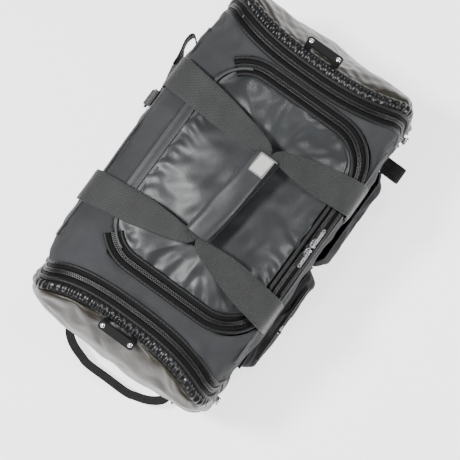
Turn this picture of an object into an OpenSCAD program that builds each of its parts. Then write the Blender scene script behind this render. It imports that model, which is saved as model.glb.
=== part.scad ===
// Soft rolling duffel bag: padded fabric body on a low moulded base, zipped lift-up main flap,
// a zipped dome on each end, webbing carry handles joined by a grip wrap, two wheels under end B.
//
// Frame: origin on the floor under the middle of the overall box, +Z up, +X towards the wheeled end B,
// -X towards end A with the haul loop, +Y the left side with the shoulder strap. The modules are drawn
// about the middle of the fabric body, and placed() moves them so that the overall box is centred.

/* [Body] */
// Length over both end domes
bag_length = 590; // [500:5:720]
// Width of the fabric body
body_width = 324; // [268:2:392]
// Height of the top of the fabric body above the floor
body_height = 288; // [240:2:346]
// Height of the fabric underside above the floor
ground_gap = 20; // [18:1:24]
// Thickness of the padded fabric wall
wall = 3; // [2:0.5:5]
// Squareness of the body's cross-section
squareness = 5; // [4:0.5:7]

/* [Ends] */
// Distance from the end wall in to the end zip at the top
end_depth = 85; // [68:1:102]
// Distance from the end wall in to the foot of the end zip
zip_foot_depth = 30; // [24:1:40]
// Height of the base tray's rim, where the end domes hinge
tray_height = 66; // [64:1:80]
// How far the end domes bulge past the base tray
dome_bulge = 7; // [4:1:12]
// Fullness of the end domes
dome_round = 2.5; // [2.2:0.1:3]
// Corner radius of the base tray in plan
tray_corner = 40; // [30:1:60]

/* [Main flap] */
// Length of the main flap
flap_length = 326; // [270:2:330]
// How far the flap sits from the middle of the body towards end B
flap_shift = 10; // [0:1:10]
// Corner radius of the main flap
flap_corner = 60; // [30:1:80]
// From the hinge seam to the left side of the body
hinge_margin = 58; // [44:1:76]
// From the free edge of the flap to the right side of the body
flap_margin = 22; // [20:1:44]

/* [Zips] */
// Width of one half of a zip tape
tape_width = 11; // [8:0.5:14]
// Thickness of a zip tape with its teeth
tape_thick = 2; // [1.5:0.1:3]
// Length of a zip pull
pull_length = 25; // [18:1:30]

/* [Carry handles] */
// Width of the handle webbing
webbing_width = 50; // [38:1:60]
// Thickness of the handle webbing
webbing_thick = 3; // [2:0.5:4]
// Distance from the middle of the bag to each handle leg
leg_x = 100; // [96:1:120]
// Height of the grip's middle above the body's top
grip_lift = 41; // [36:1:70]
// Length of the grip wrap
grip_length = 142; // [118:1:150]
// Width of the grip wrap
grip_width = 40; // [38:1:48]
// Height of the grip wrap
grip_height = 18; // [17:1:24]
// Side shift of the grip from the middle of the bag
grip_shift = -18; // [-20:1:-10]

/* [Pockets] */
// How far the side pockets bulge
pocket_bulge = 20; // [12:1:26]
// Height of the pockets' lower edge
pocket_bottom = 64; // [60:1:80]
// Drop from the bag's top to the pockets' upper edge
pocket_drop = 102; // [100:1:128]

/* [Wheels] */
// Radius of a wheel over its tyre
wheel_radius = 30; // [26:0.5:31]
// Width of a tyre
tyre_width = 24; // [18:1:26]
// Distance of each wheel's middle from the centre line
wheel_y = 120; // [100:1:124]
// Radius of the axles
axle_radius = 4; // [3:0.5:5]

/* [Straps and rings] */
// Width of the haul loop and shoulder strap webbing
strap_width = 25; // [20:1:30]
// Thickness of that webbing
strap_thick = 2.4; // [1.6:0.2:3]
// Radius of the wire of the D-rings
ring_wire = 2; // [1.5:0.1:2.5]
// Distance between the haul loop's two brackets
haul_span = 190; // [140:2:200]
// How far the haul loop reaches past its brackets
haul_reach = 34; // [30:1:60]

/* [Hidden] */

$fn = 48;
outline_steps = 60;
gap = 0.5;             // between soft parts that open away from each other
fit = 0.05;            // running clearance on a radius
skin = 0.3;            // between a sewn-on part and the fabric under it
eps = 0.01;
big = 400;             // half size of the blocks that bound a cut

half_width = body_width/2;
mid_z = (body_height + ground_gap)/2;
half_height = (body_height - ground_gap)/2;
tray_x = bag_length/2 - dome_bulge;
zip_top_x = tray_x - end_depth;
zip_foot_x = tray_x - zip_foot_depth;
zip_slope = (zip_foot_x - zip_top_x)/(body_height - tray_height);
zip_lean = atan(zip_slope);
hinge_y = half_width - hinge_margin;
flap_edge_y = half_width - flap_margin;

black = [0.10, 0.10, 0.11];
charcoal = [0.22, 0.22, 0.24];
coated_grey = [0.42, 0.44, 0.46];
webbing_grey = [0.40, 0.41, 0.40];
taupe = [0.47, 0.44, 0.40];
silver = [0.75, 0.75, 0.77];

// ---------- cross-section of the body: a superellipse in Y and Z ----------

function body_y(z, grow = 0) =
    (half_width + grow)*pow(1 - pow(min(1, abs(z - mid_z)/(half_height + grow)), squareness), 1/squareness);
function body_z(y, grow = 0) =
    mid_z + (half_height + grow)*pow(1 - pow(abs(y)/(half_width + grow), squareness), 1/squareness);
function top_tilt(y) = atan((body_z(y - 0.5) - body_z(y + 0.5)));
function super_point(t, a, b) =
    [a*sign(cos(t))*pow(abs(cos(t)), 2/squareness), b*sign(sin(t))*pow(abs(sin(t)), 2/squareness)];
function super_outline(a, b) = [for (i = [0:outline_steps - 1]) super_point((i + 0.5)*360/outline_steps, a, b)];
function zip_x(z) = zip_top_x + (body_height - z)*zip_slope;

module body_outline(grow = 0) {
    translate([0, mid_z]) polygon(super_outline(half_width + grow, half_height + grow));
}

// A Y-Z outline carried along X, and an X-Z outline carried along Y
module along_x(x0, x1) {
    translate([x0, 0, 0]) rotate([90, 0, 90]) linear_extrude(x1 - x0) children();
}
module across_y(y0, y1) {
    translate([0, y1, 0]) rotate([90, 0, 0]) linear_extrude(y1 - y0) children();
}
module band(inner, outer, x0 = -big, x1 = big) {
    along_x(x0, x1) difference() {
        body_outline(outer);
        body_outline(inner);
    }
}
module round_plate(lx, ly, r) {
    union() {
        square([lx - 2*r, ly], center = true);
        square([lx, ly - 2*r], center = true);
        for (sx = [-1, 1], sy = [-1, 1]) translate([sx*(lx/2 - r), sy*(ly/2 - r)]) circle(r);
    }
}
module placed() {
    back = haul_x - (haul_reach + haul_width/2)*cos(haul_droop);
    translate([-(bag_length/2 + back)/2, 0, 0]) children();
}
module end_side(s) {
    if (s > 0) children();
    else mirror([1, 0, 0]) children();
}
module left_side(s) {
    if (s > 0) children();
    else mirror([0, 1, 0]) children();
}

// A flat strap swept along points; each point has its own width, thickness and width direction
function unit(v) = v/norm(v);
function tangent(p, i) = unit(p[min(i + 1, len(p) - 1)] - p[max(i - 1, 0)]);
function level_width(p) = [for (i = [0:len(p) - 1]) let (t = tangent(p, i)) unit([t.y, -t.x, 0])];
module strap(p, wide, w, h) {
    n = len(p);
    corners = [for (i = [0:n - 1]) let (t = tangent(p, i), up = unit(cross(t, wide[i])), side = unit(cross(up, t)))
        for (c = [[-1, -1], [1, -1], [1, 1], [-1, 1]]) p[i] + side*c[0]*w[i]/2 + up*c[1]*h[i]/2];
    sides = [for (i = [0:n - 2], c = [0:3]) let (a = 4*i + c, b = 4*i + (c + 1)%4) each [[a, b, b + 4], [a, b + 4, a + 4]]];
    last = 4*(n - 1);
    polyhedron(corners, concat([[0, 2, 1], [0, 3, 2], [last, last + 1, last + 2], [last, last + 2, last + 3]], sides));
}

// ---------- body and base ----------

module above_tray() {
    across_y(-big, big) polygon([
        [-zip_foot_x, tray_height - eps], [zip_foot_x, tray_height - eps],
        [zip_x(body_height + 20), body_height + 20], [-zip_x(body_height + 20), body_height + 20]]);
}
module tray_plan(grow, z0, z1) {
    translate([0, 0, z0]) linear_extrude(z1 - z0) round_plate(2*(tray_x + grow), 2*(half_width + grow), tray_corner + grow);
}
module flap_plan(grow) {
    translate([flap_shift, (hinge_y - flap_edge_y)/2, mid_z]) linear_extrude(big)
        round_plate(flap_length + 2*grow, hinge_y + flap_edge_y + 2*grow, flap_corner + grow);
}
module housing_room(grow) {
    for (s = [-1, 1]) translate([housing_x0 - grow, s*wheel_y - housing_width/2 - grow, 0])
        cube([100, housing_width + 2*grow, tray_height + 1]);
}
module body_shell() {
    color(charcoal) difference() {
        intersection() {
            along_x(-tray_x, tray_x) body_outline(0);
            union() {
                above_tray();
                tray_plan(0, ground_gap - 5, tray_height);
            }
        }
        intersection() {
            along_x(-big, big) body_outline(-wall);
            union() {
                across_y(-big, big) translate([-big, tray_height - eps]) square([2*big, big]);
                tray_plan(-wall, ground_gap - 5, tray_height);
            }
        }
        flap_plan(0);
        housing_room(gap);
    }
}

board_z = ground_gap + wall + 4;
board_thick = 3;
divider_thick = 2;
divider_x = zip_top_x - 12;
module base_board() {
    color(black) translate([0, 0, board_z]) linear_extrude(board_thick)
        round_plate(2*(divider_x - gap), 2*(half_width - 57), 15);
}
module dividers() {
    color(charcoal) for (s = [-1, 1])
        along_x(s*divider_x + (s < 0 ? -divider_thick : 0), s*divider_x + (s < 0 ? 0 : divider_thick))
            body_outline(-wall - skin);
}

rail_y = 66;
rail_width = 16;
rail_low = 9;
module skid_rails() {
    color(black) for (s = [-1, 1]) difference() {
        translate([-divider_x, s*rail_y - rail_width/2, rail_low]) cube([2*divider_x, rail_width, ground_gap]);
        along_x(-big, big) body_outline(skin/3);
        for (e = [-1, 1]) translate([e*divider_x, s*rail_y, 0]) rotate([0, e*35, 0])
            translate([-20, -rail_width, -20]) cube([40, 2*rail_width, 26]);
    }
}

foot_x = -tray_x + 45;
foot_y = 92;
foot_length = 58;
foot_width = 30;
foot_seat = 8;         // depth of the counterbore for a screw's head
screw_radius = 2;
head_radius = 4;
head_height = 2.4;
module feet() {
    color(black) for (s = [-1, 1]) difference() {
        translate([foot_x, s*foot_y, 0]) linear_extrude(ground_gap + 6) round_plate(foot_length, foot_width, 10);
        along_x(-big, big) body_outline(skin/3);
        translate([foot_x, s*foot_y, -eps]) cylinder(r = head_radius + 1, h = foot_seat + eps);
        translate([foot_x, s*foot_y, -eps]) cylinder(r = screw_radius + fit, h = 60);
    }
}

// ---------- wheels at end B ----------

wheel_x = tray_x - 30;
well_clear = 3;
well_width = tyre_width + 6;
housing_wall = 7;
housing_width = well_width + 2*housing_wall;
housing_x0 = wheel_x - wheel_radius - well_clear - 4;
screw_x = housing_x0 + 11;
screw_y = housing_width/2 - head_radius - 0.5;
bearing_radius = axle_radius + 7;
bearing_width = 7;
hub_radius = wheel_radius - 9;
module y_cylinder(r, x, y0, y1, z) {
    translate([x, y1, z]) rotate([90, 0, 0]) cylinder(r = r, h = y1 - y0);
}
module wheel_housings() {
    color(black) for (s = [1, -1]) left_side(s) difference() {
        intersection() {
            translate([housing_x0, wheel_y - housing_width/2, ground_gap])
                cube([tray_x - housing_x0 + 1, housing_width, tray_height - gap - ground_gap]);
            tray_plan(1, 0, tray_height);
        }
        y_cylinder(wheel_radius + well_clear, wheel_x, wheel_y - well_width/2, wheel_y + well_width/2, wheel_radius);
        y_cylinder(axle_radius + fit, wheel_x, 0, big, wheel_radius);
        for (d = [-1, 1]) translate([screw_x, wheel_y + d*screw_y, 0])
            cylinder(r = screw_radius + fit, h = ground_gap + 16);
    }
}
module axles() {
    color(silver) for (s = [1, -1]) left_side(s) {
        y_cylinder(axle_radius, wheel_x, wheel_y - housing_width/2 + 1, wheel_y + housing_width/2 - 1, wheel_radius);
    }
}
module wheel_hub(s) {
    color(charcoal) left_side(s) difference() {
        y_cylinder(hub_radius, wheel_x, wheel_y - tyre_width/2 + 1, wheel_y + tyre_width/2 - 1, wheel_radius);
        y_cylinder(axle_radius + 2, wheel_x, 0, big, wheel_radius);
        for (d = [-1, 1]) y_cylinder(bearing_radius + fit/2, wheel_x, wheel_y + d*(tyre_width/2 - 1 - bearing_width/2)
            - bearing_width/2 - (d < 0 ? 1 : 0), wheel_y + d*(tyre_width/2 - 1 - bearing_width/2) + bearing_width/2
            + (d > 0 ? 1 : 0), wheel_radius);
        for (i = [0:5]) translate([wheel_x, 0, wheel_radius]) rotate([0, i*60, 0])
            y_cylinder(2.2, (bearing_radius + hub_radius)/2, 0, big, 0);
    }
}
module tyre(s) {
    color(black) left_side(s) translate([wheel_x, wheel_y, wheel_radius]) rotate([90, 0, 0]) rotate_extrude($fn = 96)
        difference() {
            union() {
                translate([hub_radius + fit/2, -tyre_width/2 + 2])
                    square([wheel_radius - hub_radius - fit/2, tyre_width - 4]);
                translate([hub_radius + fit/2, -tyre_width/2]) square([wheel_radius - hub_radius - 2, tyre_width]);
                for (e = [-1, 1]) translate([wheel_radius - 2, e*(tyre_width/2 - 2)]) circle(2);
            }
            for (e = [-1, 1]) translate([wheel_radius, e*4]) circle(1);
        }
}
module bearings(s) {
    color(silver) left_side(s) for (d = [-1, 1]) difference() {
        y_cylinder(bearing_radius, wheel_x, wheel_y + d*(tyre_width/2 - 1 - bearing_width/2) - bearing_width/2,
            wheel_y + d*(tyre_width/2 - 1 - bearing_width/2) + bearing_width/2, wheel_radius);
        y_cylinder(axle_radius + fit, wheel_x, 0, big, wheel_radius);
    }
}
module screw(length) {
    cylinder(r = head_radius, h = head_height);
    cylinder(r = screw_radius, h = head_height + length);
}
module base_screws() {
    color(silver) {
        for (s = [-1, 1], d = [-1, 1])
            translate([screw_x, s*wheel_y + d*screw_y, ground_gap - head_height - fit]) screw(14);
        for (s = [-1, 1]) translate([foot_x, s*foot_y, foot_seat - fit - head_height]) screw(ground_gap - 10);
    }
}

// ---------- piping and main flap ----------

pipe_radius = 2.2;
pipe_y = flap_edge_y + tape_width + 1.7;
module piping() {
    color(coated_grey) for (s = [-1, 1])
        translate([-zip_top_x + 20, s*(pipe_y + 1.8), body_z(pipe_y) + 1.8]) rotate([0, 90, 0])
            cylinder(r = pipe_radius, h = 2*(zip_top_x - 20), $fn = 24);
}
module main_flap() {
    color(coated_grey) intersection() {
        band(-wall, 0);
        flap_plan(-gap);
    }
}
module main_zip_half(inner, outer) {
    color(black) intersection() {
        band(skin, skin + tape_thick);
        difference() {
            flap_plan(outer);
            flap_plan(inner);
        }
        translate([-big, -big, mid_z]) cube([2*big, big + hinge_y - 16, big]);
    }
}

// ---------- zip sliders and pulls: X along the zip, Z out of the fabric ----------

slider_length = 14;
slider_width = 10;
slider_height = 4.2;
pin_radius = 0.9;
pin_z = 7;
pin_x = 3.5;
pull_width = 6;
pull_thick = 1.6;
lug_thick = 1.2;
slider_z = skin + tape_thick + 0.7;
pull_side = 3.4;       // a paired pull sits this far to one side, so that two hang side by side
module slider(side) {
    z0 = slider_z;
    translate([0, 0, z0]) {
        linear_extrude(slider_height) union() {
            translate([-slider_length/2, -slider_width/2 + 1.5]) square([slider_length - slider_width/2, slider_width - 3]);
            translate([-slider_length/2 + 3, -slider_width/2]) square([slider_length - 8, slider_width]);
            translate([slider_length/2 - slider_width/2, 0]) circle(slider_width/2);
        }
        for (e = [-1, 1]) translate([pin_x - 1.6, side*pull_side + e*(pull_width/2 - 0.5) - lug_thick/2, slider_height - eps])
            cube([3.2, lug_thick, pin_z - slider_height + 1.6]);
        translate([pin_x, side*pull_side + pull_width/2, pin_z]) rotate([90, 0, 0]) cylinder(r = pin_radius, h = pull_width, $fn = 24);
    }
}
module pull(side) {
    z0 = slider_z;
    eye = pull_width - 1 - lug_thick - 0.6;
    translate([pin_x, side*pull_side, z0 + pin_z]) difference() {
        union() {
            translate([0, eye/2, 0]) rotate([90, 0, 0]) cylinder(r = 1.9, h = eye, $fn = 24);
            translate([-4, -eye/2, -pull_thick/2]) cube([4, eye, pull_thick]);
            translate([-pull_length, -pull_width/2, -pull_thick/2]) cube([pull_length - 3.5, pull_width, pull_thick]);
            translate([-pull_length, 0, -pull_thick/2]) cylinder(r = pull_width/2, h = pull_thick);
        }
        translate([0, big/2, 0]) rotate([90, 0, 0]) cylinder(r = pin_radius + fit, h = big, $fn = 24);
        translate([-pull_length, 0, -5]) cylinder(r = 1.4, h = 10, $fn = 24);
    }
}
// The pull of a slider whose nose points down hangs past it, beside the lower slider's own pull
module hanging_pull() {
    translate([-2*pin_x, -2*pull_side, 0]) pull(1);
}
// Both main sliders meet on the free edge of the flap; the pair's noses face each other
main_slider_x = slider_length/2 + 0.5;
module on_main_zip(e) {
    translate([flap_shift, -flap_edge_y, body_z(flap_edge_y)]) rotate([top_tilt(flap_edge_y), 0, 0])
        translate([e*main_slider_x, 0, 0]) rotate([0, 0, e > 0 ? 180 : 0]) children();
}
// The end sliders meet low on the right side; the high one points down, the low one up
end_slider_z = 96;
end_slider_step = slider_length + 1;
module on_end_zip(e, high) {
    z = end_slider_z + (high ? end_slider_step : 0)*cos(zip_lean);
    end_side(e) translate([zip_x(z), -body_y(z), z]) rotate([90, 0, 0]) rotate([0, 0, 90 + zip_lean])
        children();
}

// ---------- end domes ----------

dome_steps = 7;
function dome_point(t, u, grow, lead) =
    let (o = super_point(t, half_width + grow, half_height + grow), x0 = zip_x(mid_z + o.y) + lead,
        c = pow(cos(90*u), 2/dome_round), s = pow(sin(90*u), 2/dome_round))
    [x0 + (bag_length/2 + grow - x0)*s, o.x*c, mid_z + o.y*c];
module dome(grow, lead) {
    n = outline_steps;
    rings = [for (k = [0:dome_steps - 1], i = [0:n - 1]) dome_point((i + 0.5)*360/n, k/dome_steps, grow, lead)];
    tip = n*dome_steps;
    quads = [for (k = [0:dome_steps - 2], i = [0:n - 1]) let (a = k*n + i, b = k*n + (i + 1)%n)
        each [[a, a + n, b + n], [a, b + n, b]]];
    cone = [for (i = [0:n - 1]) [tip - n + i, tip, tip - n + (i + 1)%n]];
    polyhedron(concat(rings, [[bag_length/2 + grow, 0, mid_z]]), concat([[for (i = [0:n - 1]) i]], quads, cone));
}
module end_cap(e) {
    color(taupe) end_side(e) intersection() {
        difference() {
            dome(0, gap);
            dome(-wall, -5);
        }
        translate([0, -big, tray_height + gap]) cube([big, 2*big, big]);
    }
}
module end_zip_half(e, x0, x1) {
    color(black) end_side(e) intersection() {
        band(skin, skin + tape_thick, 0, big);
        across_y(-big, big) polygon([
            [zip_x(tray_height + 8) + x0, tray_height + 8], [zip_x(tray_height + 8) + x1, tray_height + 8],
            [zip_x(body_height + 9) + x1, body_height + 9], [zip_x(body_height + 9) + x0, body_height + 9]]);
    }
}

grab_length = 58;
grab_width = 13;
grab_thick = 4;
grab_gap = 9;
grab_at = 0.2;         // share of the dome's curve where the grab handle sits
function ridge(u) = dome_point(90, u, 0, gap);
module on_shoulder(e) {
    slope = ridge(grab_at + 0.03) - ridge(grab_at - 0.03);
    end_side(e) translate(ridge(grab_at)) rotate([0, atan(-slope.z/slope.x), 0]) children();
}
module grab_handle(e) {
    color(black) on_shoulder(e) {
        translate([0, 0, grab_gap]) linear_extrude(grab_thick) round_plate(grab_width, grab_length, 5);
        for (d = [-1, 1]) translate([0, d*(grab_length/2 - 6), 0.6]) linear_extrude(grab_gap)
            round_plate(grab_width, 11, 3);
    }
}
module grab_rivets(e) {
    color(silver) on_shoulder(e) for (d = [-1, 1])
        translate([0, d*(grab_length/2 - 6), grab_gap + grab_thick + 0.05]) intersection() {
            cylinder(r = 3.6, h = 2);
            translate([0, 0, -3.3]) sphere(r = 4.9);
        }
}

// ---------- carry handles ----------

pivot_z = body_height - 50;
pivot_y = body_y(pivot_z) + skin + webbing_thick;
grip_z = body_height + grip_lift;
fold_width = 15;       // the webbing folds to this inside the grip
fold_thick = 4;
wrap_wall = 2.5;
grip_end = grip_length/2;
left_fold_y = grip_shift + 6.5;
right_fold_y = grip_shift - 11.5;
leg_start = grip_end + 0.21*webbing_width - 5.5;   // clear of the grip's wall by half the leg's width there
// Each leg point: x past the grip's end as a share of the leg's spread, share of the way in to the grip, height
leg_route = [
    [1.00, 0.000, pivot_z], [1.00, 0.006, pivot_z + 12], [1.00, 0.014, pivot_z + 25], [0.98, 0.036, pivot_z + 43],
    [0.93, 0.090, pivot_z + 53], [0.84, 0.195, pivot_z + 60], [0.68, 0.390, grip_z - 24], [0.48, 0.600, grip_z - 14],
    [0.34, 0.785, grip_z - 6], [0.25, 0.915, grip_z - 1.5], [0.08, 0.992, grip_z]];
leg_width = [1, 1, 1, 1, 1, 1, 0.96, 0.84, 0.62, 0.42, 0.32]*webbing_width;
leg_thick = [1, 1, 1, 1, 1, 1, 1, 1, 1.1, 1.2, 1.3]*webbing_thick;
module handle(s, fold_y) {
    leg = [for (q = leg_route)
        [leg_start + (leg_x - leg_start)*q[0], s*pivot_y + (fold_y - s*pivot_y)*q[1], q[2]]];
    n = len(leg);
    grip = [[grip_end - 4, fold_y, grip_z], [0, fold_y, grip_z], [-grip_end + 4, fold_y, grip_z]];
    route = concat(leg, grip, [for (i = [n - 1:-1:0]) [-leg[i].x, leg[i].y, leg[i].z]]);
    fold = [fold_width, fold_width, fold_width];
    thick = [fold_thick, fold_thick, fold_thick];
    color(webbing_grey) strap(route, level_width(route),
        concat(leg_width, fold, [for (i = [n - 1:-1:0]) leg_width[i]]),
        concat(leg_thick, thick, [for (i = [n - 1:-1:0]) leg_thick[i]]));
}
module grip_wrap() {
    color(coated_grey) along_x(-grip_end, grip_end) translate([grip_shift, grip_z]) difference() {
        union() {
            translate([-grip_width/2, -grip_height/2]) square([grip_width - 4, grip_height]);
            translate([0, -grip_height/2 + 4]) square([grip_width/2, grip_height - 8]);
            for (d = [-1, 1]) translate([grip_width/2 - 4, d*(grip_height/2 - 4)]) circle(4);
        }
        translate([-grip_width, -grip_height/2 + wrap_wall]) square([1.5*grip_width - wrap_wall, grip_height - 2*wrap_wall]);
    }
}
label_size = 26;
module label_patch() {
    color([0.92, 0.92, 0.90]) translate([grip_end - label_size/2 - 2, grip_shift - 3, grip_z + grip_height/2 + 0.05])
        linear_extrude(0.8) round_plate(label_size, label_size, 1.5);
}
anchor_height = 34;
module strap_anchors() {
    color(webbing_grey) intersection() {
        band(skin, skin + webbing_thick - 0.6);
        for (sx = [-1, 1], sy = [-1, 1])
            translate([sx*leg_x - webbing_width/2, sy*half_width - 20, pivot_z - 12 - anchor_height])
                cube([webbing_width, 40, anchor_height]);
    }
}

// ---------- right side pockets and tab ----------

pocket_top = body_height - pocket_drop;
pocket_x = zip_top_x - 18;
pocket_split = 8;
tab_x = zip_top_x - 8;
pocket_steps = 14;
function pocket_depth(z) = pocket_bulge*pow(max(0, sin(180*(z - pocket_bottom)/(pocket_top - pocket_bottom))), 0.5);
function pocket_height(i) = pocket_bottom + (pocket_top - pocket_bottom)*i/pocket_steps;
function pocket_y(z, out) = -(body_y(z) + skin + 0.2 + out);
module pocket_outline(inset) {
    polygon(concat(
        [for (i = [0:pocket_steps]) let (z = pocket_height(i)) [pocket_y(z, 0), z]],
        [for (i = [pocket_steps:-1:0]) let (z = pocket_height(i)) [pocket_y(z, max(0.4, pocket_depth(z) - inset)), z]]));
}
// Plan of a pocket, whose front runs back to the body over a ramp at each end
module pocket_plan(x0, x1, inset, square_depth = 6) {
    ramp = 16;
    deep = half_width + pocket_bulge + 5;
    polygon([
        [x0 + inset, -half_width + 40], [x1 - inset, -half_width + 40], [x1 - inset, -half_width - square_depth],
        [x1 - inset - ramp, -deep + inset], [x0 + inset + ramp, -deep + inset], [x0 + inset, -half_width - square_depth]]);
}
module pocket_block(x0, x1, inset) {
    intersection() {
        along_x(x0 + inset, x1 - inset) pocket_outline(inset);
        translate([0, 0, pocket_bottom - 5]) linear_extrude(pocket_top) pocket_plan(x0, x1, inset);
    }
}
module zip_pocket() {
    color(charcoal) pocket_block(-pocket_x, -pocket_split/2, 0);
}
slip_wall = 2;
slip_top = pocket_top - 12;
module slip_pocket() {
    x0 = pocket_split/2;
    x1 = pocket_x - 12;
    color(charcoal) difference() {
        intersection() {
            pocket_block(x0, x1, 0);
            translate([-big, -big, 0]) cube([2*big, 2*big, slip_top]);
        }
        intersection() {
            along_x(x0 + slip_wall, x1 - slip_wall) pocket_cavity();
            translate([0, 0, pocket_bottom + 4]) linear_extrude(big) pocket_plan(x0, x1, slip_wall, 4);
        }
    }
}
module pocket_cavity() {
    polygon(concat(
        [for (i = [1:pocket_steps]) let (z = pocket_height(i)) [pocket_y(z, -1), z]],
        [for (i = [pocket_steps:-1:1]) let (z = pocket_height(i))
            [pocket_y(z, max(0.4, pocket_depth(min(z, slip_top)) - slip_wall)), z]]));
}
zip_low = pocket_top - 20;
zip_high = pocket_top - 8;
module pocket_zip() {
    color(black) along_x(-pocket_x + 24, -pocket_split/2 - 24) polygon(concat(
        [for (i = [0:4]) let (z = zip_low + (zip_high - zip_low)*i/4) [pocket_y(z, pocket_depth(z) + 0.2), z]],
        [for (i = [4:-1:0]) let (z = zip_low + (zip_high - zip_low)*i/4) [pocket_y(z, pocket_depth(z) + 0.2 + tape_thick), z]]));
}
pocket_zip_z = (zip_low + zip_high)/2;
pocket_slope = atan((pocket_depth(zip_low) - pocket_depth(zip_high))/(zip_high - zip_low));
module on_pocket_zip() {
    translate([-pocket_x + 80, pocket_y(pocket_zip_z, pocket_depth(pocket_zip_z) + 0.5), pocket_zip_z])
        rotate([90 - pocket_slope, 0, 0]) rotate([0, 0, 180]) children();
}
module side_tab() {
    reach = 42;
    color(black) translate([tab_x, -body_y(62) - skin - reach, 60]) cube([27, reach, strap_thick]);
}

// ---------- haul loop at end A ----------

haul_z = 45;
haul_x = -tray_x - 7;
haul_y = -8;
haul_droop = 18;
haul_width = strap_width - 7;
eye_radius = 4.5;
haul_pin = 2.5;
eye_bore = haul_pin + fit;
function haul_edge(a, d) = [-(haul_reach + d)*pow(sin(a), 0.7), (haul_span/2 + d)*cos(a)];
module haul_loop() {
    half_wide = haul_width/2;
    color(black) translate([haul_x, haul_y, haul_z]) difference() {
        union() {
            rotate([0, -haul_droop, 0]) translate([0, 0, -strap_thick/2]) linear_extrude(strap_thick) polygon(concat(
                [for (a = [0:10:180]) haul_edge(a, half_wide)], [for (a = [180:-10:0]) haul_edge(a, -half_wide)]));
            for (s = [-1, 1])
                y_cylinder(eye_radius, 0, s*haul_span/2 - half_wide - 1, s*haul_span/2 + half_wide + 1, 0);
        }
        y_cylinder(eye_bore, 0, -big/2, big/2, 0);
    }
}
module haul_brackets() {
    ear = 4;
    color(black) for (s = [-1, 1]) translate([haul_x, haul_y + s*haul_span/2, haul_z]) {
        for (d = [-1, 1]) translate([0, d*(haul_width/2 + 1.5 + ear/2), 0]) {
            y_cylinder(5, 0, -ear/2, ear/2, 0);
            translate([0, -ear/2, -5]) cube([-tray_x - haul_x - skin, ear, 10]);
        }
        y_cylinder(haul_pin, 0, -haul_width/2 - 2, haul_width/2 + 2, 0);
    }
}

// ---------- rings, hooks and shoulder strap on the left side ----------

ring_b = [leg_x - webbing_width/2 - 19, pivot_z - 18];
ring_a = [-zip_top_x + 22, 132];
ring_half = 15;
hook_wire = 2;
hook_radius = 6.5;
hook_body = 20;
ring_y = half_width + 2*skin + hook_radius + hook_wire;
module d_ring(at) {
    translate([at[0], ring_y, at[1]]) rotate([90, 0, 0]) {
        translate([-ring_half, 0, 0]) rotate([0, 90, 0]) cylinder(r = ring_wire, h = 2*ring_half, $fn = 24);
        rotate([0, 0, 180]) rotate_extrude(angle = 180) translate([ring_half, 0]) circle(ring_wire, $fn = 24);
        for (d = [-1, 1]) translate([d*ring_half, 0, 0]) sphere(ring_wire, $fn = 24);
    }
}
module d_rings() {
    color(silver) {
        d_ring(ring_b);
        d_ring(ring_a);
    }
}
tab_length = 18;
module ring_tab(at) {
    r = ring_wire + 0.3;
    foot = at[1] + 14;
    head = foot + tab_length;
    translate([at[0] - strap_width/2, 0, 0]) along_x(0, strap_width - 2) difference() {
        union() {
            translate([ring_y, at[1]]) circle(r + strap_thick);
            polygon([
                [ring_y - r - strap_thick, at[1]], [body_y(foot) + skin, foot], [body_y(head) + skin, head],
                [body_y(head) + skin + strap_thick, head], [body_y(foot) + skin + strap_thick, foot + 1],
                [ring_y, at[1] + r + strap_thick]]);
        }
        translate([ring_y, at[1]]) circle(r);
    }
}
module ring_tabs() {
    color(black) difference() {
        union() {
            ring_tab(ring_b);
            ring_tab(ring_a);
        }
        along_x(-big, big) body_outline(skin);
    }
}
// The hook's loop goes over the ring's round side, clear of it all round
hook_loop_z = -ring_half + ring_wire + hook_wire + skin - hook_radius;
hook_end_z = hook_loop_z - hook_radius - hook_body - 2;
module snap_hook(at) {
    translate([at[0], ring_y, at[1] + hook_loop_z]) {
        rotate([0, 90, 0]) rotate_extrude() translate([hook_radius, 0]) circle(hook_wire, $fn = 24);
        translate([0, 0, -hook_radius - hook_body + 1]) cylinder(r = 4, h = hook_body);
        translate([-strap_width/2 - 3, -3, -hook_radius - hook_body - 2]) cube([strap_width + 6, 6, 4]);
    }
}
module snap_hooks() {
    color(silver) {
        snap_hook(ring_b);
        snap_hook(ring_a);
    }
}
hook_b_end = [ring_b[0], ring_y, ring_b[1] + hook_end_z - skin];
hook_a_end = [ring_a[0], ring_y, ring_a[1] + hook_end_z - skin];
pad_y = half_width + 16;
pad_half = 95;
pad_mid_x = 42;
pad_z = 92;
adjuster_x = -98;
adjuster_z = 66;
pad_route = [[pad_mid_x + pad_half, pad_y + 13, 104], [pad_mid_x + pad_half - 12, pad_y + 11, 103],
    [pad_mid_x + pad_half*0.6, pad_y + 7, 98], [pad_mid_x + 10, pad_y + 2, pad_z], [pad_mid_x - 40, pad_y, 84],
    [pad_mid_x - pad_half + 12, pad_y, 79], [pad_mid_x - pad_half, pad_y, 78]];
function past(p, q, d) = p + unit(p - q)*d;
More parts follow.
